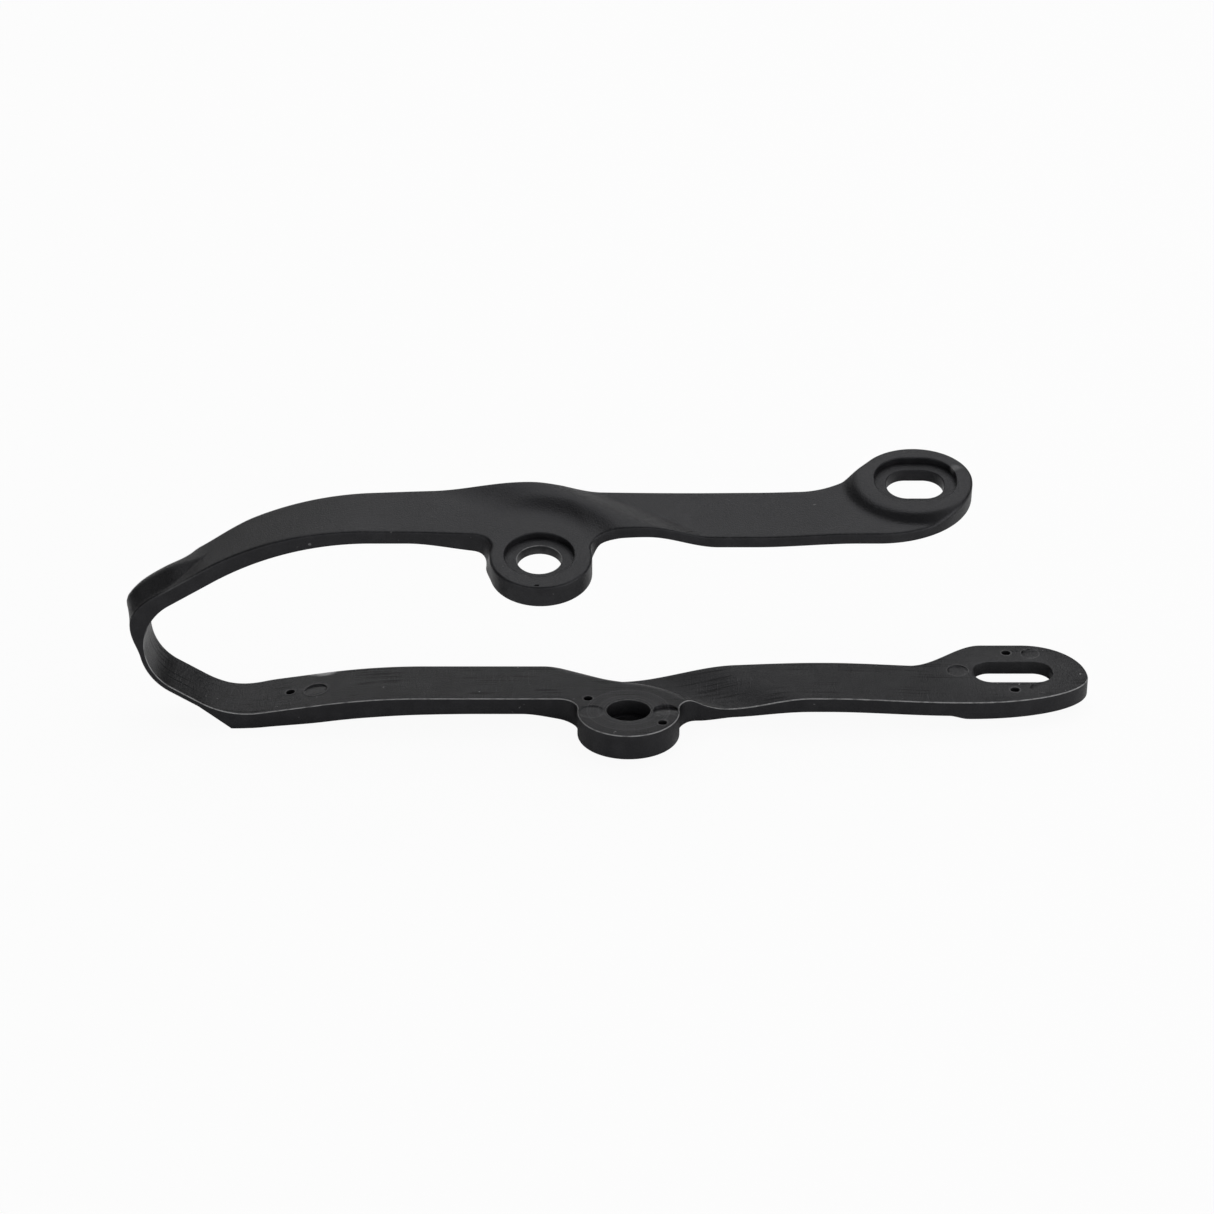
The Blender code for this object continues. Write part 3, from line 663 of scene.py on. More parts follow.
@dataclass(frozen=True)
class Form:
    """Height fields of the two faces, the lean of the strap and its bending."""

    profile: SideProfile = field(default_factory=SideProfile)
    strap: Strap = field(default_factory=Strap)
    thickness: Thickness = field(default_factory=Thickness)
    crest: Crest = field(default_factory=Crest)
    dip: Dip = field(default_factory=Dip)
    rear: RearLean = field(default_factory=RearLean)
    rib: Rib = field(default_factory=Rib)
    flare: Flare = field(default_factory=Flare)
    upper_lobe: UpperLobe = field(default_factory=UpperLobe)
    lower_lobe: LowerLobe = field(default_factory=LowerLobe)

    def tilt(self, u: Array) -> Array:
        """Lean across the strap: smooth steps between the stated angles, in radians.

        Args:
            u: Stations along the strap.

        Returns:
            Lean at each station, in radians.
        """
        strap, rear, profile = self.strap, self.rear, self.profile
        upper_x, lower_x = profile.upper_x(u), profile.lower_run(u)
        upper = strap.upper_tilt * smooth(upper_x, strap.tilt_start_x, strap.tilt_end_x)
        more = smooth(upper_x, strap.rear_tilt_start_x, strap.rear_tilt_end_x)
        upper = upper + (strap.rear_tilt - strap.upper_tilt) * more
        upper = np.where(u < profile.nose_u, np.radians(upper), 0.0)
        lower = math.radians(rear.twist) * smooth(lower_x, rear.twist_start_x, rear.twist_end_x)
        return upper - np.where(u > profile.lower_start, lower, 0.0)

    def far_edge(self, u: Array) -> Array:
        """Far edge of the strap: its width less the waist, eased in at both ends.

        Args:
            u: Stations along the strap.

        Returns:
            Place of the far edge across the strap.
        """
        strap = self.strap
        start = self.profile.upper_u(strap.waist_start_x)
        end = self.profile.lower_u(strap.waist_end_x)
        inside = smooth(u, start, start + strap.waist_run)
        inside = inside * smooth(u, end, end - strap.waist_run)
        return strap.width - strap.waist_depth * inside

    def upper_boss_share(self, u: Array, v: Array) -> Array:
        """Share of the upper boss: 1 on its disc, eased to 0 over its spread.

        Args:
            u: Stations along the strap.
            v: Places across the strap.

        Returns:
            Share of the boss at each place.
        """
        upper_x = self.profile.upper_x(u)
        boss = UPPER_BOSS
        reach = np.hypot(upper_x - boss.x, v - boss.v) - boss.radius
        behind = smooth(upper_x, boss.x, boss.x + boss.radius)
        run = boss.front_spread + (boss.rear_spread - boss.front_spread) * behind
        return 1.0 - smooth(reach / run, 0.0, 1.0)

    def inner(self, u: Array, v: Array) -> Array:
        """Inner face above the side profile.

        The upper arm adds a slanted raised-cosine crest, takes off the set-down
        behind it and sinks at the boss; the lower arm adds a slanted
        raised-cosine dip and the droop of its end.

        Args:
            u: Stations along the strap.
            v: Places across the strap.

        Returns:
            Height of the inner face.
        """
        crest, dip, rear = self.crest, self.dip, self.rear
        upper_x, lower_x = self.profile.upper_x(u), self.profile.lower_run(u)
        share = v / self.strap.width

        middle = crest.near_x + (crest.far_x - crest.near_x) * share
        rise = crest.near_rise + (crest.far_rise - crest.near_rise) * share
        raised = rise * hump(upper_x - middle, crest.front_run, crest.rear_run)
        down = crest.near_set_down + (crest.far_set_down - crest.near_set_down) * share
        down = down * smooth(upper_x, middle, crest.full_x)
        down = down * smooth(upper_x, crest.end_x, crest.end_x - crest.end_run)
        reach = np.hypot(upper_x - UPPER_BOSS.x, v - UPPER_BOSS.v)
        rim = UPPER_BOSS.radius
        clear = smooth(reach, rim + crest.boss_gap, rim + crest.boss_run)
        sunk = UPPER_BOSS.sink + UPPER_BOSS.thickness - self.thickness.upper_mid
        upper = (raised - down) * clear - sunk * self.upper_boss_share(u, v)

        middle = dip.near_x + (dip.far_x - dip.near_x) * share
        depth = dip.near_depth + (dip.far_depth - dip.near_depth) * share
        front = dip.near_front_run + (dip.far_front_run - dip.near_front_run) * share
        back = dip.near_rear_run + (dip.far_rear_run - dip.near_rear_run) * share
        lowered = depth * hump(lower_x - middle, front, back)
        reach = np.hypot(lower_x - LOWER_BOSS.x, v - LOWER_BOSS.v)
        rim = LOWER_BOSS.radius
        clear = smooth(reach, rim + dip.boss_gap, rim + dip.boss_run)
        lower = lowered * clear + rear.droop * smooth(lower_x, rear.droop_start_x, rear.droop_end_x)
        before = u < self.profile.nose_u
        after = u > self.profile.heel_u
        return np.where(before, upper, np.where(after, lower, 0.0))

    def heel_thickness(self, u: Array) -> Array:
        """Thickness from the ramp to the heel's corner, where the outer face is straight.

        Over the turn a of the inner arc of radius r the outer face is the line
        (r + ramp) / (cos a - m sin a), its slope m set by the corner's thickness.

        Args:
            u: Stations along the strap.

        Returns:
            The thickness, that of the ramp before the arc.
        """
        profile, sizes = self.profile, self.thickness
        radius, last = profile.heel_radius, profile.corner_turn
        turn = np.clip((u - profile.heel_start) / radius, 0.0, last)
        corner, foot = radius + sizes.heel_corner, radius + sizes.ramp
        slope = (corner * math.cos(last) - foot) / (corner * math.sin(last))
        return foot / (np.cos(turn) - slope * np.sin(turn)) - radius

    def base_thickness(self, u: Array) -> Array:
        """Thickness of the plain strap: smooth steps from one stated value to the next.

        Args:
            u: Stations along the strap.

        Returns:
            Thickness at each station.
        """
        sizes, profile = self.thickness, self.profile
        upper_x, lower_x = profile.upper_x(u), profile.lower_run(u)
        upper = sizes.upper_mid
        upper = upper + (sizes.upper_rear - sizes.upper_mid) * smooth(upper_x, *sizes.upper_rear_x)
        upper = upper + (sizes.flank - sizes.upper_mid) * smooth(upper_x, *sizes.flank_x)
        thick = smooth(u, *map(profile.nose_heading_u, sizes.nose_headings))
        upper = upper + (sizes.nose - sizes.flank) * thick
        thin = smooth(u, *map(profile.nose_heading_u, sizes.ramp_headings))
        upper = upper + (sizes.ramp - sizes.nose) * thin
        upper = upper + self.heel_thickness(u) - sizes.ramp
        after = 1.0 - np.clip((u - profile.heel_u) / sizes.heel_ease, 0.0, 1.0)
        lower = sizes.heel + (sizes.heel_corner - sizes.heel) * after * after
        lower = lower + (sizes.lower_front - sizes.heel) * smooth(lower_x, *sizes.lower_front_x)
        lower = lower + (sizes.lower_mid - sizes.lower_front) * smooth(lower_x, *sizes.lower_mid_x)
        lower = lower + (sizes.lower_rear - sizes.lower_mid) * smooth(lower_x, *sizes.lower_rear_x)
        return np.where(u < profile.heel_u, upper, lower)

    def rib_height(self, u: Array, v: Array) -> Array:
        """Chain rib: a straight flank up to its crest, then a parabola down to the far edge.

        The flank starts as a point at the tip and widens as the rib grows; the
        parabola ends below the strap's own level.

        Args:
            u: Stations along the strap.
            v: Places across the strap.

        Returns:
            Height over the plain strap, negative near the far edge.
        """
        rib, profile = self.rib, self.profile
        upper_x, past = profile.upper_x(u), u > profile.nose_u
        growth = np.where(past, 1.0, smooth(upper_x, rib.start_x, rib.start_x - rib.run))
        fall = smooth(upper_x, rib.drop_start_x, rib.drop_start_x - rib.drop_run)
        fall = np.where(past, 1.0, fall)
        end = profile.nose_heading_u(rib.end_heading)
        fade = smooth(u, end, end - rib.fade_length)
        crest = rib.tip_v + (rib.crest_v - rib.tip_v) * growth
        flank = np.maximum((rib.crest_v - rib.foot_v) * growth, rib.least_flank)
        near = np.clip(1.0 - (crest - v) / flank, 0.0, 1.0)
        edge = self.strap.width - self.strap.waist_depth
        far = np.clip((v - crest) / (edge - crest), 0.0, 1.0)
        rise = rib.height * growth
        drop = (rise + rib.far_drop * fall) * far * far
        return fade * np.where(v < crest, rise * near, rise - drop)

    def foot(self, loop: Array) -> Array:
        """Outline moved along u by a raised cosine round the flare's own centre.

        Args:
            loop: Rows of u and v.

        Returns:
            The moved outline.
        """
        flare = self.flare
        reach = np.hypot(self.profile.upper_x(loop[:, 0]) - flare.x, loop[:, 1] - flare.v)
        return loop + np.stack([flare.size * hump(reach, flare.run, flare.run), 0.0 * reach], axis=1)

    def outer(self, u: Array, v: Array) -> Array:
        """Outer face above the side profile.

        It is the inner face plus the strap's thickness, eased to each boss's own
        thickness, plus the step of the upper lobe, the rib and the lower lobe.

        Args:
            u: Stations along the strap.
            v: Places across the strap.

        Returns:
            Height of the outer face.
        """
        lobe, lower_lobe, rear = self.upper_lobe, self.lower_lobe, self.rear
        upper_x, lower_x = self.profile.upper_x(u), self.profile.lower_run(u)
        inner, base = self.inner(u, v), self.base_thickness(u)

        share = self.upper_boss_share(u, v)
        level = base + (UPPER_BOSS.thickness - base) * share
        reach = np.hypot((upper_x - lobe.x) / lobe.half_length, (v - lobe.v) / lobe.half_width)
        step = lobe.step * smooth(reach, 1.0 + lobe.flank_run / lobe.half_width, 1.0)
        upper = inner + level + step + self.rib_height(u, v)

        reach = np.hypot(lower_x - LOWER_BOSS.x, v - LOWER_BOSS.v)
        spread = LOWER_BOSS.radius + LOWER_BOSS.front_spread
        share = smooth(reach, spread, LOWER_BOSS.radius)
        lift = rear.droop * smooth(lower_x, rear.droop_start_x, rear.droop_end_x)
        full = lower_lobe.full_x
        end = smooth(lower_x, full - lower_lobe.thick_start, full - lower_lobe.thick_end)
        end = end * (lower_x > 0.0)
        level = base + (LOWER_BOSS.thickness - base) * share
        level = level + (lower_lobe.thickness - self.thickness.lower_rear) * end
        lower = lift + (inner - lift) * self.dip.outer_share + level
        return np.where(u < self.profile.heel_u, upper, lower)

    def place(self, u: Array, v: Array, h: Array) -> Array:
        """Bend points of the blank onto the side profile.

        The pair (h, v) is turned by the tilt; the turned height goes along the
        profile's normal and the turned v goes across, along Y.

        Args:
            u: Stations along the strap.
            v: Places across the strap.
            h: Heights above the side profile.

        Returns:
            Rows of x, y and z.
        """
        x, z, heading = self.profile.at(u)
        tilt = self.tilt(u)
        along_normal = h * np.cos(tilt) + v * np.sin(tilt)
        across = v * np.cos(tilt) - h * np.sin(tilt)
        px = x + np.sin(heading) * along_normal
        pz = z - np.cos(heading) * along_normal
        return np.stack([px, across, pz], axis=-1)


@dataclass(frozen=True)
class Outline:
    """Closed outline of the flat blank, from lines, arcs and two eased curves."""

    form: Form
    spacing: float = 0.85
    shoulder_steps: int = 28
    step_count: int = 32

    def arc(
        self, u: float, v: float, reach: tuple[float, float], angles: tuple[float, float]
    ) -> Array:
        """Elliptic arc: centre plus (reach cos, reach sin) of even angles, ends included.

        Args:
            u: Centre along the strap.
            v: Centre across the strap.
            reach: Half axes along u and v.
            angles: First and last angle in degrees.

        Returns:
            Rows of u and v.
        """
        sweep = abs(math.radians(angles[1] - angles[0])) * max(abs(reach[0]), abs(reach[1]))
        count = max(8, int(sweep / self.spacing)) + 1
        turn = np.radians(np.linspace(angles[0], angles[1], count))
        return np.stack([u + reach[0] * np.cos(turn), v + reach[1] * np.sin(turn)], axis=1)

    def line(self, start: Array, end: Array) -> Array:
        """Even points strictly between two ends.

        Args:
            start: First end.
            end: Last end.

        Returns:
            Rows of u and v, without the ends.
        """
        distance = float(np.linalg.norm(np.asarray(end) - np.asarray(start)))
        count = max(1, int(round(distance / self.spacing)))
        ratio = (np.arange(1, count) / count)[:, None]
        return np.asarray(start)[None] * (1.0 - ratio) + np.asarray(end)[None] * ratio

    def boss(self, boss: Boss) -> Array:
        """Boss edge: two fillet arcs that touch the near edge and the boss's own arc.

        Args:
            boss: The boss, placed along X.

        Returns:
            Rows of x and v, front to rear.
        """
        fillet, radius = boss.fillet, boss.radius
        reach = math.sqrt((radius + fillet) ** 2 - (fillet + boss.v) ** 2)
        lean = math.degrees(math.atan2(-fillet - boss.v, reach))
        left = self.arc(boss.x - reach, -fillet, (fillet, fillet), (90.0, -lean))
        disc = self.arc(boss.x, boss.v, (radius, radius), (180.0 - lean, 360.0 + lean))
        right = self.arc(boss.x + reach, -fillet, (fillet, fillet), (180.0 + lean, 90.0))
        return np.concatenate([left, disc[1:-1], right])

    def upper_end(self) -> Array:
        """Upper end: a quarter ellipse, the lobe's own arc and a parabola to the far edge.

        Returns:
            Rows of x and v, from the near edge round to the far edge.
        """
        lobe, width = self.form.upper_lobe, self.form.strap.width
        tip_x = lobe.x + lobe.half_length
        near = self.arc(lobe.taper_start_x, lobe.v, (tip_x - lobe.taper_start_x, lobe.v), (-90.0, 0.0))
        half = (lobe.half_length, lobe.half_width)
        top = self.arc(lobe.x, lobe.v, half, (0.0, lobe.shoulder_angle))[1:]
        lean = math.radians(lobe.shoulder_angle)
        leave = np.array([lobe.x + half[0] * math.cos(lean), lobe.v + half[1] * math.sin(lean)])
        slope = np.array([-half[0] * math.sin(lean), half[1] * math.cos(lean)])
        foot = np.array([leave[0] + slope[0] / slope[1] * (width - leave[1]), width])
        end = np.array([foot[0] - lobe.shoulder_run, width])
        t = (np.arange(1, self.shoulder_steps + 1) / self.shoulder_steps)[:, None]
        shoulder = (1.0 - t) ** 2 * leave + 2.0 * t * (1.0 - t) * foot + t * t * end
        return np.concatenate([near, top, shoulder])

    def lower_end(self) -> Array:
        """Lower end: two quarter ellipses, a line and a smooth step to the far edge.

        Returns:
            Rows of x and v, from the near edge round to the far edge.
        """
        lobe, width = self.form.lower_lobe, self.form.strap.width
        run = lobe.tip_x - lobe.taper_start_x
        near = self.arc(lobe.taper_start_x, lobe.tip_v, (run, lobe.tip_v), (-90.0, 0.0))
        run = lobe.tip_x - lobe.round_x
        top = self.arc(lobe.round_x, lobe.tip_v, (run, lobe.top_v - lobe.tip_v), (0.0, 90.0))[1:]
        flat = self.line(top[-1], np.array([lobe.full_x, lobe.top_v]))
        ratio = np.arange(self.step_count + 1) / self.step_count
        x = lobe.full_x + (lobe.start_x - lobe.full_x) * ratio
        v = width + (lobe.top_v - width) * smooth(ratio, 1.0, 0.0)
        return np.concatenate([near, top, flat, np.stack([x, v], axis=1)])

    def points(self) -> Array:
        """Whole outline in u and v, anticlockwise.

        Returns:
            Rows of u and v, closed without a repeated point.
        """
        profile, width = self.form.profile, self.form.strap.width
        upper = self.upper_end()
        upper[:, 0] = profile.upper_rear_x - upper[:, 0]
        upper_boss = self.boss(UPPER_BOSS)[::-1]
        upper_boss[:, 0] = profile.upper_rear_x - upper_boss[:, 0]
        shift = np.array([profile.lower_start - profile.lower_x, 0.0])
        lower_boss = self.boss(LOWER_BOSS) + shift
        lower = self.lower_end() + shift
        heel_near = np.array([[profile.heel_u, 0.0]])
        heel_far = np.array([[profile.heel_u, width]])
        runs = [upper_boss, heel_near, lower_boss, lower, heel_far, upper[::-1]]
        parts = []
        for run, following in zip(runs, runs[1:] + runs[:1]):
            parts += [run, self.line(run[-1], following[0])]
        loop = np.concatenate(parts)
        on_far_edge = np.abs(loop[:, 1] - width) < 1e-9
        loop[on_far_edge, 1] = self.form.far_edge(loop[on_far_edge, 0])
        following = np.roll(loop, -1, axis=0)
        area = np.sum(loop[:, 0] * following[:, 1] - following[:, 0] * loop[:, 1])
        return loop if area > 0.0 else loop[::-1]


def inset(loop: Array, distance: float) -> Array:
    """Move an anticlockwise loop inwards.

    Each point moves along the mean of its two sides' normals by the distance
    over the cosine of half the turn.

    Args:
        loop: Rows of u and v.
        distance: How far every side moves.

    Returns:
        The moved loop.
    """
    before = loop - np.roll(loop, 1, axis=0)
    after = np.roll(loop, -1, axis=0) - loop
    before = before / np.linalg.norm(before, axis=1, keepdims=True)
    after = after / np.linalg.norm(after, axis=1, keepdims=True)
    both = before + after
    normal = np.stack([-both[:, 1], both[:, 0]], axis=1)
    half = np.linalg.norm(normal, axis=1, keepdims=True) / 2.0
    return loop + normal / (2.0 * half) * distance / half


def holds(points: Array, loop: Array) -> Array:
    """Whether points lie inside a loop: an odd number of sides cross their row.

    Args:
        points: Rows of u and v.
        loop: Closed loop.

    Returns:
        True for each point inside.
    """
    inside = np.zeros(len(points), bool)
    low, high = loop.min(axis=0), loop.max(axis=0)
    near = np.all((points >= low) & (points <= high), axis=1)
    x, y = points[near, 0][:, None], points[near, 1][:, None]
    ax, ay = loop[:, 0][None], loop[:, 1][None]
    bx, by = np.roll(loop[:, 0], -1)[None], np.roll(loop[:, 1], -1)[None]
    rise = np.where(by == ay, 1.0, by - ay)
    crosses = ((ay > y) != (by > y)) & (x < ax + (y - ay) * (bx - ax) / rise)
    inside[near] = np.count_nonzero(crosses, axis=1) % 2 == 1
    return inside


def far_from(points: Array, loop: Array, distance: float) -> Array:
    """Whether points are further than a distance from every point of a dense loop.

    Args:
        points: Rows of u and v.
        loop: Dense closed loop.
        distance: The least distance.

    Returns:
        True for each point that is far enough.
    """
    far = np.ones(len(points), bool)
    low, high = loop.min(axis=0) - distance, loop.max(axis=0) + distance
    near = np.flatnonzero(np.all((points >= low) & (points <= high), axis=1))
    for block in np.array_split(near, max(1, len(near) // 2000)):
        gap = points[block][:, None, :] - loop[None]
        far[block] = (gap * gap).sum(axis=2).min(axis=1) > distance * distance
    return far


class Skin:
    """Closed triangle skin: blank places, heights and triangles as arrays."""

    edge_gap: float = 0.62
    loop_gap: float = 0.5
    mark_spacing: float = 0.6

    def __init__(self, form: Form, marks: list[Mark]) -> None:
        """Start an empty skin over a form.

        Args:
            form: Height fields and bending.
            marks: Marks of the inner face.
        """
        self.form = form
        self.marks = marks
        self.flat: list[Array] = []
        self.height: list[Array] = []
        self.edge: list[Array] = []
        self.faces: list[Array] = []
        self.region: list[Array] = []
        self.count = 0

    def level(self, flat: Array, face: Face) -> Array:
        """Height of a face at places of the blank, marks included.

        Args:
            flat: Rows of u and v.
            face: Which face is read.

        Returns:
            Height at each place.
        """
        if face is Face.OUTER:
            return self.form.outer(flat[:, 0], flat[:, 1])
        height = self.form.inner(flat[:, 0], flat[:, 1])
        for mark in self.marks:
            height = height + mark.drop(flat[:, 0], flat[:, 1])
        return height

    def add(self, flat: Array, height: Array, edge: Array | float) -> Array:
        """Add points.

        Args:
            flat: Rows of u and v.
            height: Height of each point.
            edge: Share of a pale edge line that the points have: abrasion and painted highlight.

        Returns:
            Their numbers.
        """
        numbers = np.arange(self.count, self.count + len(flat))
        self.flat.append(flat)
        self.height.append(height)
        self.edge.append(np.full(len(flat), edge))
        self.count += len(flat)
        return numbers

    def triangles(self, faces: Array, region: Region) -> None:
        """Add triangles of one region."""
        self.faces.append(faces)
        self.region.append(np.full(len(faces), region.value))

    def band(self, first: Array, second: Array, region: Region) -> None:
        """Join two loops of equal count, two triangles to each pair of sides.

        Args:
            first: Point numbers of one loop.
            second: Those of the other.
            region: Region of the triangles.
        """
        first_next, second_next = np.roll(first, -1), np.roll(second, -1)
        self.triangles(np.stack([first, first_next, second_next], axis=1), region)
        self.triangles(np.stack([first, second_next, second], axis=1), region)

    def lattice(
        self, outline: Array, loops: list[Array], holes: list[Array], spacing: float
    ) -> Array:
        """Even points of the blank, inside the outline and clear of every loop.

        Args:
            outline: Edge of the face.
            loops: Every loop that the points keep clear of.
            holes: Loops that hold no points.
            spacing: Distance between points.

        Returns:
            Rows of u and v.
        """
        low, high = outline.min(axis=0), outline.max(axis=0)
        rows = self.form.strap.width / round(self.form.strap.width / spacing)
        crease = self.form.profile.heel_u
        steps = np.arange(-int((crease - low[0]) / spacing), int((high[0] - crease) / spacing) + 1)
        across = np.arange(math.floor(low[1] / rows), math.ceil(high[1] / rows) + 1) * rows
        grid = np.stack(np.meshgrid(crease + steps * spacing, across, indexing="ij"), axis=-1)
        points = grid.reshape(-1, 2)
        points = points[holds(points, outline)]
        points = points[far_from(points, outline, self.edge_gap * spacing)]
        for loop in loops:
            points = points[far_from(points, loop, self.loop_gap * spacing)]
        for loop in holes:
            points = points[~holds(points, loop)]
        return points

    def cap(
        self, edge: tuple[Array, Array], holes: list[tuple[Array, Array]], face: Face, spacing: float
    ) -> None:
        """Fill a face between its edge and its holes with a constrained triangulation.

        Args:
            edge: The outline and its point numbers.
            holes: Each hole's outline and point numbers.
            face: Which face is filled.
            spacing: Distance between the face's own points.
        """
        rings = []
        if face is Face.INNER:
            for mark in self.marks:
                rings += mark.loops(self.mark_spacing * spacing)
        rings = [ring for ring in rings if self.is_free(ring, holes)]
        hole_loops = [loop for loop, _ in holes]
        lattice = self.lattice(edge[0], hole_loops + rings, hole_loops, spacing)
        own = np.concatenate(rings + [lattice])
        wear_and_highlight = np.zeros(len(own))
        if face is Face.INNER:
            for mark in self.marks:
                wear_and_highlight += mark.wear_and_highlight_share(own[:, 0], own[:, 1])
        numbers = self.add(own, self.level(own, face), wear_and_highlight)
        numbers = np.concatenate([edge[1]] + [ids for _, ids in holes] + [numbers])
        flat = np.concatenate([edge[0]] + hole_loops + [own])
        sides, start = [], 0
        for loop in [edge[0]] + hole_loops + rings:
            here = np.arange(start, start + len(loop))
            sides.append(np.stack([here, np.roll(here, -1)], axis=1))
            start += len(loop)
        result = delaunay_2d_cdt(flat.tolist(), np.concatenate(sides).tolist(), [], 0, 1e-7)
        spots = np.array(result[0])
        faces = np.array(result[2])
        first = np.array([origin[0] for origin in result[3]])
        middle = spots[faces].mean(axis=1)
        keep = holds(middle, edge[0])
        for loop in hole_loops:
            keep &= ~holds(middle, loop)
        region = Region.OUTER_SKIN if face is Face.OUTER else Region.INNER_SKIN
        self.triangles(numbers[first[faces[keep]]], region)

    def is_free(self, ring: Array, holes: list[tuple[Array, Array]]) -> bool:
        """Whether a ring crosses no hole."""
        return not any(holds(ring, loop).any() for loop, _ in holes)


@dataclass(frozen=True)
class PlasticFinish:
    """Satin black plastic: its colours, gloss and surface marks."""

    name: str
    colour: tuple[float, float, float]
    pale: tuple[float, float, float]
    roughness: float
    specular: float
    grain_scale: float
    grain_depth: float
    smudge_scale: float
    smudge_share: float
    edge_share: float
    cross_share: float = 0.0
    cross_scales: tuple[float, float] = (2400.0, 110.0)
    streak_share: float = 0.0
    streak_scales: tuple[float, float] = (42.0, 1150.0)
    streak_dull: float = 0.12
    streak_tone: float = 0.25
    sheen_gain: float = 0.06
    ring_share: float = 0.0
    speck_share: float = 0.2
    ring_centre: tuple[float, float] = (0.0, 0.0)
    # Pale tone of specks and edge lines; along the rib and inner edges it is a painted highlight.
    wear_and_highlight: tuple[float, float, float] = (0.32, 0.32, 0.322)
    # Pale tone of abraded patches and of painted sheen.
    scuff_and_sheen_tone: tuple[float, float, float] = (0.4, 0.4, 0.402)
    tint: tuple[float, float, float] = (0.95, 0.95, 1.0)
    relief_distance: float = 0.0002

    def build(self, groups: "SurfaceGroups") -> bpy.types.Material:
        """Make the material from the shared groups, with this finish's own values.

        Args:
            groups: Shared surface effects.

        Returns:
            The material.
        """
        material = bpy.data.materials.new(self.name)
        material.use_nodes = True
        tree = material.node_tree
        shader = next(n for n in tree.nodes if n.type == "BSDF_PRINCIPLED")
        shader.inputs["Specular IOR Level"].default_value = self.specular
        shader.inputs["Specular Tint"].default_value = (*self.tint, 1.0)
        coords = tree.nodes.new("ShaderNodeTexCoord")
        strap = tree.nodes.new("ShaderNodeUVMap")
        strap.uv_map = "blank"
        edge = tree.nodes.new("ShaderNodeAttribute")
        edge.attribute_name = "edge"
        scuff_and_sheen = tree.nodes.new("ShaderNodeAttribute")
        scuff_and_sheen.attribute_name = "scuff_and_sheen"

        smudge = place_group(tree, groups.smudge, Scale=self.smudge_scale, Share=self.smudge_share)
        along, across = self.cross_scales
        cross = place_group(tree, groups.drag, Along=along, Across=across, Share=self.cross_share)
        along, across = self.streak_scales
        streak = place_group(tree, groups.drag, Along=along, Across=across, Share=self.streak_share)
        centre = {"Centre U": self.ring_centre[0], "Centre V": self.ring_centre[1]}
        rings = place_group(tree, groups.rings, Share=self.ring_share, **centre)
        specks = place_group(tree, groups.specks, Share=self.speck_share)
        wear_and_highlight_share = place_group(tree, groups.edge_wear_and_highlight, Share=self.edge_share)
        grain = place_group(tree, groups.grain, Scale=self.grain_scale)
        links = tree.links
        for node in (smudge, grain, wear_and_highlight_share, specks):
            links.new(coords.outputs["Object"], node.inputs["Vector"])
        for node in (cross, streak, rings):
            links.new(strap.outputs["UV"], node.inputs["Vector"])
        links.new(edge.outputs["Fac"], wear_and_highlight_share.inputs["Edge"])

        pale, wear_and_highlight, scuff_and_sheen_tone = (*self.pale, 1.0), (*self.wear_and_highlight, 1.0), (*self.scuff_and_sheen_tone, 1.0)
        dark = (*(self.streak_tone * part for part in self.colour), 1.0)
        tone = mix_colour(tree, smudge.outputs["Mask"], (*self.colour, 1.0), pale)
        tone = mix_colour(tree, cross.outputs["Mask"], tone, pale)
        tone = mix_colour(tree, streak.outputs["Mask"], tone, dark)
        tone = mix_colour(tree, rings.outputs["Mask"], tone, pale)
        tone = mix_colour(tree, specks.outputs["Mask"], tone, wear_and_highlight)
        # Pale patches: abrasion, and painted sheen on the seats and the upper lobe.
        tone = mix_colour(tree, scuff_and_sheen.outputs["Fac"], tone, scuff_and_sheen_tone)
        # Pale edge line: abrasion, and painted highlight along the rib and the inner edges.
        tone = mix_colour(tree, wear_and_highlight_share.outputs["Mask"], tone, wear_and_highlight)
        links.new(tone, shader.inputs["Base Color"])

        gloss = tree.nodes.new("ShaderNodeMapRange")
        gloss.inputs["To Min"].default_value = self.roughness
        gloss.inputs["To Max"].default_value = self.roughness - self.sheen_gain
        links.new(smudge.outputs["Mask"], gloss.inputs["Value"])
        dull = tree.nodes.new("ShaderNodeMath")
        dull.operation = "MULTIPLY_ADD"
        dull.inputs[1].default_value = self.streak_dull
        links.new(streak.outputs["Mask"], dull.inputs[0])
        links.new(gloss.outputs["Result"], dull.inputs[2])
        links.new(dull.outputs["Value"], shader.inputs["Roughness"])

        relief = tree.nodes.new("ShaderNodeMath")
        relief.operation = "ADD"
        links.new(grain.outputs["Height"], relief.inputs[0])
        links.new(cross.outputs["Height"], relief.inputs[1])
        bump = tree.nodes.new("ShaderNodeBump")
        bump.inputs["Strength"].default_value = self.grain_depth
        bump.inputs["Distance"].default_value = self.relief_distance
        links.new(relief.outputs["Value"], bump.inputs["Height"])
        links.new(bump.outputs["Normal"], shader.inputs["Normal"])
        material.diffuse_color = (*self.colour, 1.0)
        return material


def place_group(
    tree: bpy.types.NodeTree, group: bpy.types.NodeTree, **values: float
) -> bpy.types.Node:
    """Place a group in a material and set its named inputs.

    Args:
        tree: The material's nodes.
        group: The group to place.
        **values: Input names and their values.

    Returns:
        The group's node.
    """
    node = tree.nodes.new("ShaderNodeGroup")
    node.node_tree = group
    for name, value in values.items():
        node.inputs[name].default_value = value
    return node


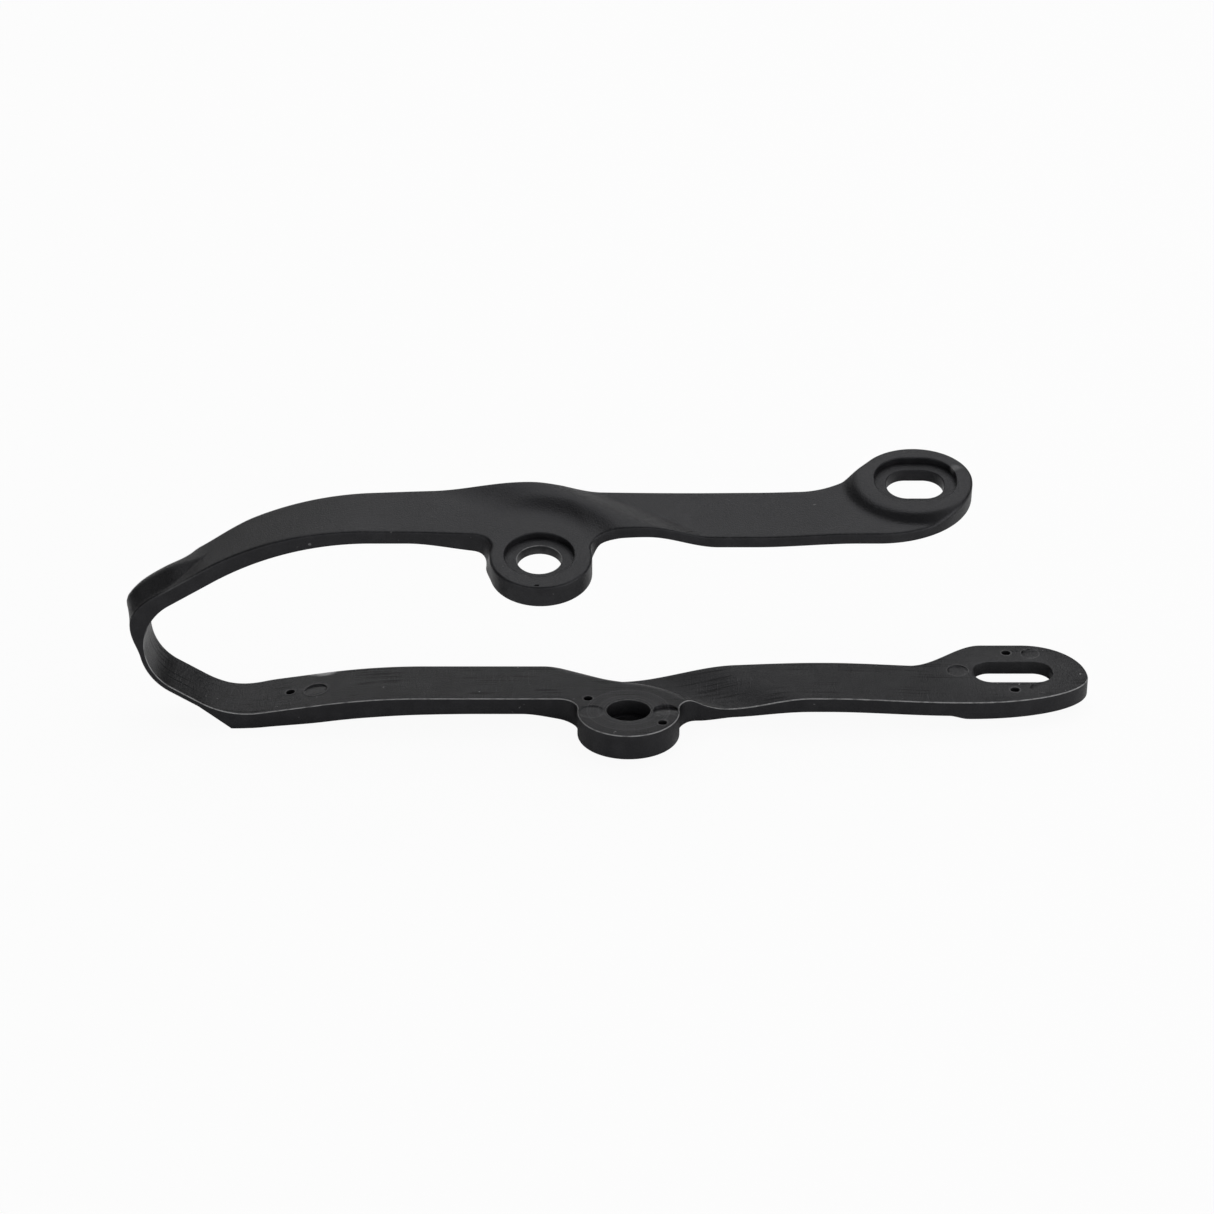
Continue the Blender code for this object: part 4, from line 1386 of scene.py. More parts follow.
def mix_colour(
    tree: bpy.types.NodeTree,
    share: bpy.types.NodeSocket,
    first: bpy.types.NodeSocket | tuple[float, float, float, float],
    second: bpy.types.NodeSocket | tuple[float, float, float, float],
) -> bpy.types.NodeSocket:
    """Mix two colours by a mask: first times one less share, plus second times share.

    Args:
        tree: Node tree that the mix is placed in.
        share: Mask socket.
        first: Colour or socket where the mask is 0.
        second: Colour or socket where the mask is 1.

    Returns:
        Socket of the mixed colour.
    """
    node = tree.nodes.new("ShaderNodeMix")
    node.data_type = "RGBA"
    tree.links.new(share, node.inputs["Factor"])
    for socket, value in ((node.inputs[6], first), (node.inputs[7], second)):
        if isinstance(value, tuple):
            socket.default_value = value
        else:
            tree.links.new(value, socket)
    return node.outputs[2]


class SurfaceGroups:
    """Node groups for the effects that the finishes share."""

    def __init__(self) -> None:
        """Build every group once."""
        self.grain = self.build_grain()
        self.smudge = self.build_smudge()
        self.drag = self.build_drag()
        self.rings = self.build_rings()
        self.specks = self.build_specks()
        self.edge_wear_and_highlight = self.build_edge_wear_and_highlight()

    def start(
        self, name: str, inputs: dict[str, float | None], outputs: tuple[str, ...]
    ) -> tuple[bpy.types.NodeTree, bpy.types.Node, bpy.types.Node]:
        """Make an empty group.

        Args:
            name: Name of the group.
            inputs: Input names with their values, None for a vector.
            outputs: Names of the value outputs.

        Returns:
            The group, its input node and its output node.
        """
        tree = bpy.data.node_groups.new(name, "ShaderNodeTree")
        for label, value in inputs.items():
            kind = "NodeSocketVector" if value is None else "NodeSocketFloat"
            socket = tree.interface.new_socket(name=label, in_out="INPUT", socket_type=kind)
            if value is not None:
                socket.default_value = value
        for label in outputs:
            tree.interface.new_socket(name=label, in_out="OUTPUT", socket_type="NodeSocketFloat")
        return tree, tree.nodes.new("NodeGroupInput"), tree.nodes.new("NodeGroupOutput")

    def noise(
        self,
        tree: bpy.types.NodeTree,
        vector: bpy.types.NodeSocket,
        scale: bpy.types.NodeSocket | float,
        detail: float,
    ) -> bpy.types.NodeSocket:
        """Place a noise texture that reads the vector at the scale.

        Args:
            tree: Node tree that the node is placed in.
            vector: Place that is read.
            scale: Scale, a number or a socket.
            detail: Octaves of finer noise.

        Returns:
            Socket of the noise, 0 to 1.
        """
        node = tree.nodes.new("ShaderNodeTexNoise")
        node.inputs["Detail"].default_value = detail
        tree.links.new(vector, node.inputs["Vector"])
        if isinstance(scale, float):
            node.inputs["Scale"].default_value = scale
        else:
            tree.links.new(scale, node.inputs["Scale"])
        return node.outputs["Fac"]

    def ramp(
        self, tree: bpy.types.NodeTree, value: bpy.types.NodeSocket, low: float, high: float
    ) -> bpy.types.NodeSocket:
        """Stretch a value from low..high to 0..1, eased at both ends.

        Args:
            tree: Node tree that the node is placed in.
            value: Value that is stretched.
            low: Value that becomes 0.
            high: Value that becomes 1.

        Returns:
            Socket of the stretched value.
        """
        node = tree.nodes.new("ShaderNodeMapRange")
        node.interpolation_type = "SMOOTHSTEP"
        node.inputs["From Min"].default_value = low
        node.inputs["From Max"].default_value = high
        tree.links.new(value, node.inputs["Value"])
        return node.outputs["Result"]

    def times(
        self, tree: bpy.types.NodeTree, first: bpy.types.NodeSocket, second: bpy.types.NodeSocket
    ) -> bpy.types.NodeSocket:
        """Product of two values.

        Args:
            tree: Node tree that the node is placed in.
            first: One value.
            second: The other.

        Returns:
            Socket of the product.
        """
        node = tree.nodes.new("ShaderNodeMath")
        node.operation = "MULTIPLY"
        tree.links.new(first, node.inputs[0])
        tree.links.new(second, node.inputs[1])
        return node.outputs["Value"]

    def build_grain(self) -> bpy.types.NodeTree:
        """Fine moulded grain: noise at the stated scale, as a height.

        Returns:
            The group.
        """
        inputs = {"Vector": None, "Scale": 2600.0}
        tree, source, result = self.start("moulded_grain", inputs, ("Height",))
        height = self.noise(tree, source.outputs["Vector"], source.outputs["Scale"], 3.0)
        tree.links.new(height, result.inputs["Height"])
        return tree

    def build_smudge(self) -> bpy.types.NodeTree:
        """Uneven sheen: soft noise, stretched to patches and scaled by the share.

        Returns:
            The group.
        """
        inputs = {"Vector": None, "Scale": 90.0, "Share": 0.5}
        tree, source, result = self.start("uneven_sheen", inputs, ("Mask",))
        patches = self.noise(tree, source.outputs["Vector"], source.outputs["Scale"], 5.0)
        mask = self.times(tree, self.ramp(tree, patches, 0.38, 0.72), source.outputs["Share"])
        tree.links.new(mask, result.inputs["Mask"])
        return tree

    def build_drag(self) -> bpy.types.NodeTree:
        """Fine lines on the strap: noise drawn out by its two scales, in soft patches.

        Returns:
            The group.
        """
        inputs = {"Vector": None, "Along": 2400.0, "Across": 110.0, "Share": 0.3}
        tree, source, result = self.start("drag_marks", inputs, ("Mask", "Height"))
        scales = tree.nodes.new("ShaderNodeCombineXYZ")
        tree.links.new(source.outputs["Along"], scales.inputs["X"])
        tree.links.new(source.outputs["Across"], scales.inputs["Y"])
        stretch = tree.nodes.new("ShaderNodeVectorMath")
        stretch.operation = "MULTIPLY"
        tree.links.new(source.outputs["Vector"], stretch.inputs[0])
        tree.links.new(scales.outputs["Vector"], stretch.inputs[1])
        lines = self.ramp(tree, self.noise(tree, stretch.outputs["Vector"], 1.0, 2.0), 0.5, 0.78)
        patches = self.ramp(tree, self.noise(tree, source.outputs["Vector"], 60.0, 2.0), 0.42, 0.62)
        mask = self.times(tree, lines, patches)
        mask = self.times(tree, mask, source.outputs["Share"])
        tree.links.new(mask, result.inputs["Mask"])
        tree.links.new(mask, result.inputs["Height"])
        return tree

    def build_rings(self) -> bpy.types.NodeTree:
        """Turned rings round a bore: noise of the distance from it, ending at the reach.

        Returns:
            The group.
        """
        inputs = {"Vector": None, "Centre U": 0.0, "Centre V": 0.0, "Reach": 0.013, "Share": 0.5}
        tree, source, result = self.start("turned_rings", inputs, ("Mask",))
        centre = tree.nodes.new("ShaderNodeCombineXYZ")
        tree.links.new(source.outputs["Centre U"], centre.inputs["X"])
        tree.links.new(source.outputs["Centre V"], centre.inputs["Y"])
        away = tree.nodes.new("ShaderNodeVectorMath")
        away.operation = "DISTANCE"
        tree.links.new(source.outputs["Vector"], away.inputs[0])
        tree.links.new(centre.outputs["Vector"], away.inputs[1])
        spread = tree.nodes.new("ShaderNodeCombineXYZ")
        tree.links.new(away.outputs["Value"], spread.inputs["X"])
        lines = self.ramp(tree, self.noise(tree, spread.outputs["Vector"], 1500.0, 2.0), 0.42, 0.66)
        within = tree.nodes.new("ShaderNodeMath")
        within.operation = "LESS_THAN"
        tree.links.new(away.outputs["Value"], within.inputs[0])
        tree.links.new(source.outputs["Reach"], within.inputs[1])
        mask = self.times(tree, lines, within.outputs["Value"])
        mask = self.times(tree, mask, source.outputs["Share"])
        tree.links.new(mask, result.inputs["Mask"])
        return tree

    def build_specks(self) -> bpy.types.NodeTree:
        """Few small pale specks: the peaks of a fine noise.

        Returns:
            The group.
        """
        inputs = {"Vector": None, "Share": 0.5}
        tree, source, result = self.start("specks", inputs, ("Mask",))
        peaks = self.ramp(tree, self.noise(tree, source.outputs["Vector"], 440.0, 3.0), 0.725, 0.785)
        mask = self.times(tree, peaks, source.outputs["Share"])
        tree.links.new(mask, result.inputs["Mask"])
        return tree

    def build_edge_wear_and_highlight(self) -> bpy.types.NodeTree:
        """Pale line along the rounded edges, partly abrasion and partly painted highlight, broken up a
        little by noise.

        Returns:
            The group.
        """
        inputs = {"Vector": None, "Edge": 0.0, "Share": 0.5}
        tree, source, result = self.start("edge_wear_and_highlight", inputs, ("Mask",))
        broken = self.ramp(tree, self.noise(tree, source.outputs["Vector"], 420.0, 3.0), 0.1, 0.6)
        mask = self.times(tree, source.outputs["Edge"], broken)
        mask = self.times(tree, mask, source.outputs["Share"])
        tree.links.new(mask, result.inputs["Mask"])
        return tree


OUTER_PLASTIC = PlasticFinish(
    name="outer_plastic",
    colour=(0.005, 0.005, 0.0056),
    pale=(0.008, 0.008, 0.009),
    roughness=0.36,
    specular=0.35,
    grain_scale=2300.0,
    grain_depth=0.5,
    smudge_scale=60.0,
    smudge_share=0.5,
    edge_share=0.06,
)
INNER_PLASTIC = PlasticFinish(
    name="inner_plastic",
    colour=(0.0095, 0.0095, 0.0104),
    pale=(0.045, 0.045, 0.048),
    roughness=0.31,
    specular=0.22,
    grain_scale=2100.0,
    grain_depth=0.45,
    smudge_scale=130.0,
    smudge_share=0.18,
    edge_share=0.6,
    cross_share=0.7,
    streak_share=3.2,
    ring_share=0.9,
    speck_share=0.8,
)
WALL_PLASTIC = PlasticFinish(
    name="wall_plastic",
    colour=(0.006, 0.006, 0.0067),
    pale=(0.018, 0.018, 0.0195),
    roughness=0.4,
    specular=0.33,
    grain_scale=2000.0,
    grain_depth=0.55,
    smudge_scale=160.0,
    smudge_share=0.5,
    # Pale edge line; along the rib and inner edges it is a painted highlight.
    edge_share=0.85,
    speck_share=0.3,
)


@dataclass
class ChainSlider:
    """The whole moulding, with its bores, recesses, pin holes and ejector marks."""

    form: Form = field(default_factory=Form)
    spacing: float = 0.85
    upper_bore: float = 13.1
    upper_recess: float = 20.5
    upper_recess_depth: float = 2.0
    upper_relief: float = 18.0
    upper_relief_depth: float = 1.8
    lower_bore: float = 10.4
    collar_bore: float = 13.1
    collar_depth: float = 4.9
    upper_slot: tuple[float, float, float] = (17.2, 13.2, 6.0)
    upper_seat_margin: float = 3.6
    upper_seat_depth: float = 2.0
    lower_slot: tuple[float, float, float] = (24.2, 12.0, 5.6)
    lower_slot_x: float = 123.7
    lower_slot_v: float = 18.0
    lower_seat_margin: float = 4.0
    lower_seat_depth: float = 1.6
    pin_diameter: float = 2.7
    pin_depth: float = 1.5
    pin_places: tuple[tuple[float, float], ...] = (
        (-96.5, 11.0), (-5.8, 0.2), (16.4, -14.9), (122.6, 29.0), (123.4, 7.4),
    )
    burr: float = 0.03
    gate_size: tuple[float, float, float] = (1.5, 0.7, 0.35)
    gate_depth: float = 0.4
    gate_shift: float = 1.0
    gate_inset: float = 1.35
    mouth_round: float = 0.35
    bore_round: float = 0.3
    seat_round: float = 0.25
    collar_round: float = 0.2
    scuff_and_sheen_depth: float = 0.4
    wall_rows: tuple[float, ...] = (0.25, 0.5, 0.75)
    # Pale edge lines: painted highlight by the rib, abrasion and painted highlight on the inner edges.
    edge_wear_and_painted_highlight: EdgeWearAndHighlight = field(default_factory=EdgeWearAndHighlight)

    def marks(self) -> list[Mark]:
        """Ejector marks of the lower arm's inner face."""
        lower = self.form.profile.lower_u
        return [
            Mark(lower(-88.6), 10.3, radius=3.5, depth=0.16, lean_v=0.07, rim=0.08),
            Mark(lower(-4.7), -8.0, radius=3.8, depth=0.14, lean_v=0.02),
            Mark(lower(17.4), -7.4, radius=3.8, depth=0.42, lean_u=-0.03, lean_v=0.14),
            Mark(lower(106.9), 18.6, radius=3.1, depth=0.16, lean_v=0.05, rim=0.05),
            Mark(lower(129.9), 28.6, radius=2.7, depth=0.2, lean_u=-0.09, lean_v=0.02, rim=0.04),
            Mark(lower(131.0), 8.5, radius=2.9, depth=0.2, lean_u=-0.09, lean_v=0.02),
        ]

    def through_holes(self) -> list[Opening]:
        """The two bolt holes and the two slots, as rings from the outer face inwards.

        Returns:
            Upper bolt, lower bolt, upper slot and lower slot.
        """
        profile, lobe = self.form.profile, self.form.upper_lobe
        ring_gap = (self.upper_recess - self.upper_bore) / 2.0
        relief_gap = (self.upper_relief - self.upper_bore) / 2.0
        collar_gap = (self.collar_bore - self.lower_bore) / 2.0
        outer, inner = Face.OUTER, Face.INNER
        mouth, bore, seat = self.mouth_round, self.bore_round, self.seat_round
        upper_bolt = Opening(
            profile.upper_u(UPPER_BOSS.bolt_x), UPPER_BOSS.bolt_v,
            self.upper_bore, self.upper_bore, self.upper_bore / 2.0,
            tuple(
                rounded(ring_gap, outer, 0.0, mouth, True)
                + [Ring(ring_gap, outer, self.upper_recess_depth)]
                + rounded(0.0, outer, self.upper_recess_depth, bore, True, 0.8)
                + [Ring(0.0, inner, self.upper_relief_depth, 0.2)]
                + [Ring(relief_gap, inner, self.upper_relief_depth)]
                + rounded(relief_gap, inner, 0.0, bore, False)
            ),
        )
        lower_bolt = Opening(
            profile.lower_u(LOWER_BOSS.bolt_x), LOWER_BOSS.bolt_v,
            self.lower_bore, self.lower_bore, self.lower_bore / 2.0,
            tuple(
                rounded(0.0, outer, 0.0, bore, True)
                + rounded(0.0, inner, self.collar_depth, self.collar_round, False)
                + [Ring(collar_gap, inner, self.collar_depth)]
                + rounded(collar_gap, inner, 0.0, mouth, False, 0.4)
            ),
        )
        upper_slot = Opening(
            profile.upper_u(lobe.x), lobe.v, *self.upper_slot,
            tuple(
                rounded(self.upper_seat_margin, outer, 0.0, mouth, True)
                + [Ring(self.upper_seat_margin, outer, self.upper_seat_depth)]
                + rounded(0.0, outer, self.upper_seat_depth, bore, True)
                + rounded(0.0, inner, 0.0, bore, False)
            ),
        )
        lower_slot = Opening(
            profile.lower_u(self.lower_slot_x), self.lower_slot_v, *self.lower_slot,
            tuple(
                rounded(self.lower_seat_margin, outer, 0.0, mouth, True)
                + [Ring(self.lower_seat_margin, outer, self.lower_seat_depth)]
                + rounded(0.0, outer, self.lower_seat_depth, seat, True)
                + rounded(0.0, inner, 0.0, mouth, False, 0.12)
            ),
        )
        return [upper_bolt, lower_bolt, upper_slot, lower_slot]

    def pin_holes(self) -> list[Opening]:
        """Blind core-pin holes of the lower arm, each with a small raised burr.

        The rings run from the narrowed bottom up the wall and over the burr.

        Returns:
            The holes, front to rear.
        """
        rings = (
            Ring(-0.5, Face.INNER, self.pin_depth),
            Ring(0.0, Face.INNER, self.pin_depth - 0.3),
            Ring(0.0, Face.INNER, 0.05),
            Ring(0.1, Face.INNER, -self.burr, 0.1),
            Ring(0.3, Face.INNER, -self.burr, 0.3),
            Ring(0.5, Face.INNER, 0.0),
        )
        size = self.pin_diameter
        lower = self.form.profile.lower_u
        return [
            Opening(lower(x), v, size, size, size / 2.0, rings, count=40, blind=True)
            for x, v in self.pin_places
        ]

    def gate(self) -> Opening:
        """Small pit of the moulding gate, at the near rim of the upper boss.

        Returns:
            The pit, a blind opening of the outer face.
        """
        rings = (Ring(-0.1, Face.OUTER, self.gate_depth), Ring(0.0, Face.OUTER, 0.0))
        u = self.form.profile.upper_u(UPPER_BOSS.x - self.gate_shift)
        v = UPPER_BOSS.v - UPPER_BOSS.radius + self.gate_inset
        return Opening(u, v, *self.gate_size, rings, count=20, blind=True)

    def scuffs_and_sheen(self) -> list[ScuffAndSheen]:
        """Pale patches: abrasion at the lower arm's far edge; painted sheen on its bolt and slot seats
        and on the upper lobe.

        Returns:
            The patches.
        """
        profile, lobe = self.form.profile, self.form.upper_lobe
        lobe_u, lobe_v = profile.upper_u(lobe.x), lobe.v
        bolt_u, slot_u = profile.lower_u(LOWER_BOSS.x), profile.lower_u(self.lower_slot_x)
        return [
            ScuffAndSheen(Face.INNER, profile.lower_u(-86.4), 20.6, 4.2, 2.0, 1.0),
            ScuffAndSheen(Face.INNER, profile.lower_u(-89.6), 20.8, 2.4, 1.2, 0.6),
            # Painted sheen: faint pale patches over the lower bolt seat and the lower slot's lobe.
            ScuffAndSheen(Face.INNER, bolt_u, LOWER_BOSS.v, 16.0, 16.0, 0.02),
            ScuffAndSheen(Face.INNER, slot_u, self.lower_slot_v, 24.0, 18.0, 0.03),
            # Painted sheen: small pale patches on the upper lobe beside its seat.
            ScuffAndSheen(Face.OUTER, lobe_u - 10.8, lobe_v + 4.7, 2.6, 1.2, 0.22),
            ScuffAndSheen(Face.OUTER, lobe_u - 12.4, lobe_v + 5.7, 1.9, 1.1, 0.2),
        ]

    def side_wall(self, skin: Skin, outline: Array) -> tuple[Array, Array, Array, Array]:
        """Build the rounded outer edge, the wall and the rounded inner edge.

        Each round is a quarter circle: the loop is inset by r (1 - sin a) and
        drops by r (1 - cos a) as the angle a goes from 0 to 90 degrees.

        Args:
            skin: The skin that is built.
            outline: Outline of the blank.

        Returns:
            Loop and numbers at the outer face, loop and numbers at the inner face.
        """
        strap, profile = self.form.strap, self.form.profile
        angles = np.radians(EDGE_ANGLES)
        loops, rows = [], []
        rib_u = profile.upper_u(self.form.rib.start_x)
        # Painted highlight: a pale line along the rib's near outer edge.
        wear_and_sheen = self.edge_wear_and_painted_highlight.outer(outline, rib_u, profile.nose_u)
        for angle in angles:
            loop = inset(outline, strap.outer_round * (1.0 - math.sin(angle)))
            drop = strap.outer_round * (1.0 - math.cos(angle))
            loops.append(loop)
            wear_and_highlight = wear_and_sheen * (0.0 if angle == angles[-1] else 1.0)
            rows.append(skin.add(loop, skin.level(loop, Face.OUTER) - drop, wear_and_highlight))
        foot = self.form.foot(outline)
        low = skin.level(foot, Face.INNER) + strap.inner_round
        high = skin.level(outline, Face.OUTER) - strap.outer_round
        for ratio in self.wall_rows:
            loop = outline + (foot - outline) * ratio
            rows.append(skin.add(loop, high + (low - high) * ratio, 0.0))
            loops.append(loop)
        # Pale line on the lower arm's inner edges: partly abrasion, partly painted highlight.
        wear_and_sheen = self.edge_wear_and_painted_highlight.inner(outline, profile.nose_u)
        for angle in angles[::-1]:
            loop = inset(foot, strap.inner_round * (1.0 - math.sin(angle)))
            drop = strap.inner_round * (1.0 - math.cos(angle))
            loops.append(loop)
            wear_and_highlight = wear_and_sheen * (0.0 if angle in (angles[0], angles[-1]) else 1.0)
            rows.append(skin.add(loop, skin.level(loop, Face.INNER) + drop, wear_and_highlight))
        for first, second in zip(rows[:-1], rows[1:]):
            skin.band(first, second, Region.SIDE_WALL)
        return loops[0], rows[0], loops[-1], rows[-1]

    def opening(self, skin: Skin, opening: Opening) -> list[tuple[Array, Array]]:
        """Build an opening's rings, and a fan over its bottom where it is blind.

        Args:
            skin: The skin that is built.
            opening: The opening.

        Returns:
            Each ring's loop and point numbers, in the rings' order.
        """
        built = []
        for ring in opening.rings:
            loop = opening.loop(ring.outward)
            built.append((loop, skin.add(loop, skin.level(loop, ring.face) + ring.lift, ring.wear_and_highlight)))
        for first, second in zip(built[:-1], built[1:]):
            skin.band(first[1], second[1], Region.SIDE_WALL)
        if opening.blind:
            centre = np.array([[opening.u, opening.v]])
            deep = opening.rings[0]
            middle = skin.add(centre, skin.level(centre, deep.face) + deep.lift, 0.0)
            rim = built[0][1]
            hub = np.full(len(rim), middle[0])
            skin.triangles(np.stack([hub, rim, np.roll(rim, -1)], axis=1), Region.SIDE_WALL)
        return built

    def skin(self) -> Skin:
        """Work out the whole closed skin.

        Returns:
            The skin, its faces not yet turned outwards.
        """
        skin = Skin(self.form, self.marks())
        outline = Outline(self.form, self.spacing).points()
        top, top_ids, base, base_ids = self.side_wall(skin, outline)
        outer_holes, inner_holes = [], []
        for hole in self.through_holes():
            built = self.opening(skin, hole)
            outer_holes.append(built[0])
            inner_holes.append(built[-1])
        for hole in self.pin_holes():
            inner_holes.append(self.opening(skin, hole)[-1])
        outer_holes.append(self.opening(skin, self.gate())[-1])
        skin.cap((top, top_ids), outer_holes, Face.OUTER, self.spacing)
        skin.cap((base, base_ids), inner_holes, Face.INNER, self.spacing)
        return skin

    def mesh(self, name: str) -> bpy.types.Mesh:
        """Bend the skin, centre it on its box and write it into a mesh.

        Args:
            name: Name of the mesh.

        Returns:
            The mesh, with the blank's places as a UV map, the edge share of abrasion and painted
            highlight, and the share of abraded and painted sheen patches.
        """
        skin = self.skin()
        flat, height = np.concatenate(skin.flat), np.concatenate(skin.height)
        edge, faces = np.concatenate(skin.edge), np.concatenate(skin.faces)
        points = self.form.place(flat[:, 0], flat[:, 1], height)
        low, high = points.min(axis=0), points.max(axis=0)
        middle = np.array([(low[0] + high[0]) / 2.0, (low[1] + high[1]) / 2.0, low[2]])
        points = (points - middle) * MM
        LOG.info("moved by %s mm", np.round(-middle, 3).tolist())

        mesh = bpy.data.meshes.new(name)
        mesh.vertices.add(len(points))
        mesh.vertices.foreach_set("co", points.astype(np.float32).ravel())
        mesh.loops.add(faces.size)
        mesh.loops.foreach_set("vertex_index", faces.astype(np.int32).ravel())
        mesh.polygons.add(len(faces))
        mesh.polygons.foreach_set("loop_start", np.arange(0, faces.size, 3, dtype=np.int32))
        mesh.polygons.foreach_set("material_index", np.concatenate(skin.region).astype(np.int32))
        mesh.update(calc_edges=True)
        mesh.validate()
        layer = mesh.uv_layers.new(name="blank")
        layer.uv.foreach_set("vector", (flat[faces.ravel()] * MM).astype(np.float32).ravel())
        below = height - self.form.inner(flat[:, 0], flat[:, 1])
        above = self.form.outer(flat[:, 0], flat[:, 1]) - height
        wear_and_sheen = np.zeros(len(flat))
        for scuff_and_sheen in self.scuffs_and_sheen():
            on_face = (above if scuff_and_sheen.face is Face.OUTER else below) < self.scuff_and_sheen_depth
            wear_and_sheen = np.maximum(wear_and_sheen, on_face * scuff_and_sheen.share_at(flat[:, 0], flat[:, 1]))
        for label, values in (("edge", edge), ("scuff_and_sheen", wear_and_sheen)):
            share = mesh.attributes.new(label, "FLOAT", "POINT")
            share.data.foreach_set("value", values.astype(np.float32))
        shape = bmesh.new()
        shape.from_mesh(mesh)
        bmesh.ops.recalc_face_normals(shape, faces=shape.faces)
        shape.to_mesh(mesh)
        shape.free()
        mesh.shade_smooth()
        mesh.set_sharp_from_angle(angle=math.radians(50.0))
        return mesh

    def build(self, groups: SurfaceGroups) -> bpy.types.Object:
        """Make the piece, dress it, put it on the root body and hide the CAD node.

        Args:
            groups: Shared surface effects.

        Returns:
            The piece.
        """
        mesh = self.mesh("slider_moulding")
        bolt = (self.form.profile.lower_u(LOWER_BOSS.bolt_x) * MM, LOWER_BOSS.bolt_v * MM)
        for finish in (OUTER_PLASTIC, replace(INNER_PLASTIC, ring_centre=bolt), WALL_PLASTIC):
            mesh.materials.append(finish.build(groups))
        piece = bpy.data.objects.new("slider_moulding", mesh)
        bpy.context.scene.collection.objects.link(piece)
        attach(piece, BODY)
        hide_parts(NODE)
        return piece


@dataclass(frozen=True)
class SoftBox:
    """Rectangular soft light, placed by its direction as seen from the object."""

    name: str
    azimuth: float
    elevation: float
    spread: tuple[float, float]
    radiance: float
    distance: float = 1.8

    def build(self) -> bpy.types.Object:
        """Make the light.

        Its sides are 2 d tan(spread / 2) at the distance d, and its power is pi
        times its area times its radiance.

        Returns:
            The light, turned to the middle of the object.
        """
        data = bpy.data.lights.new(self.name, "AREA")
        data.shape = "RECTANGLE"
        sides = [2.0 * self.distance * math.tan(math.radians(angle) / 2.0) for angle in self.spread]
        data.size, data.size_y = sides
        data.energy = math.pi * sides[0] * sides[1] * self.radiance
        turn, lift = math.radians(self.azimuth), math.radians(self.elevation)
        way = Vector((math.sin(turn) * math.cos(lift), math.cos(turn) * math.cos(lift), math.sin(lift)))
        lamp = bpy.data.objects.new(self.name, data)
        lamp.location = Vector((0.0, 0.0, 0.04)) + way * self.distance
        lamp.rotation_euler = way.to_track_quat("Z", "Y").to_euler()
        bpy.context.scene.collection.objects.link(lamp)
        return lamp


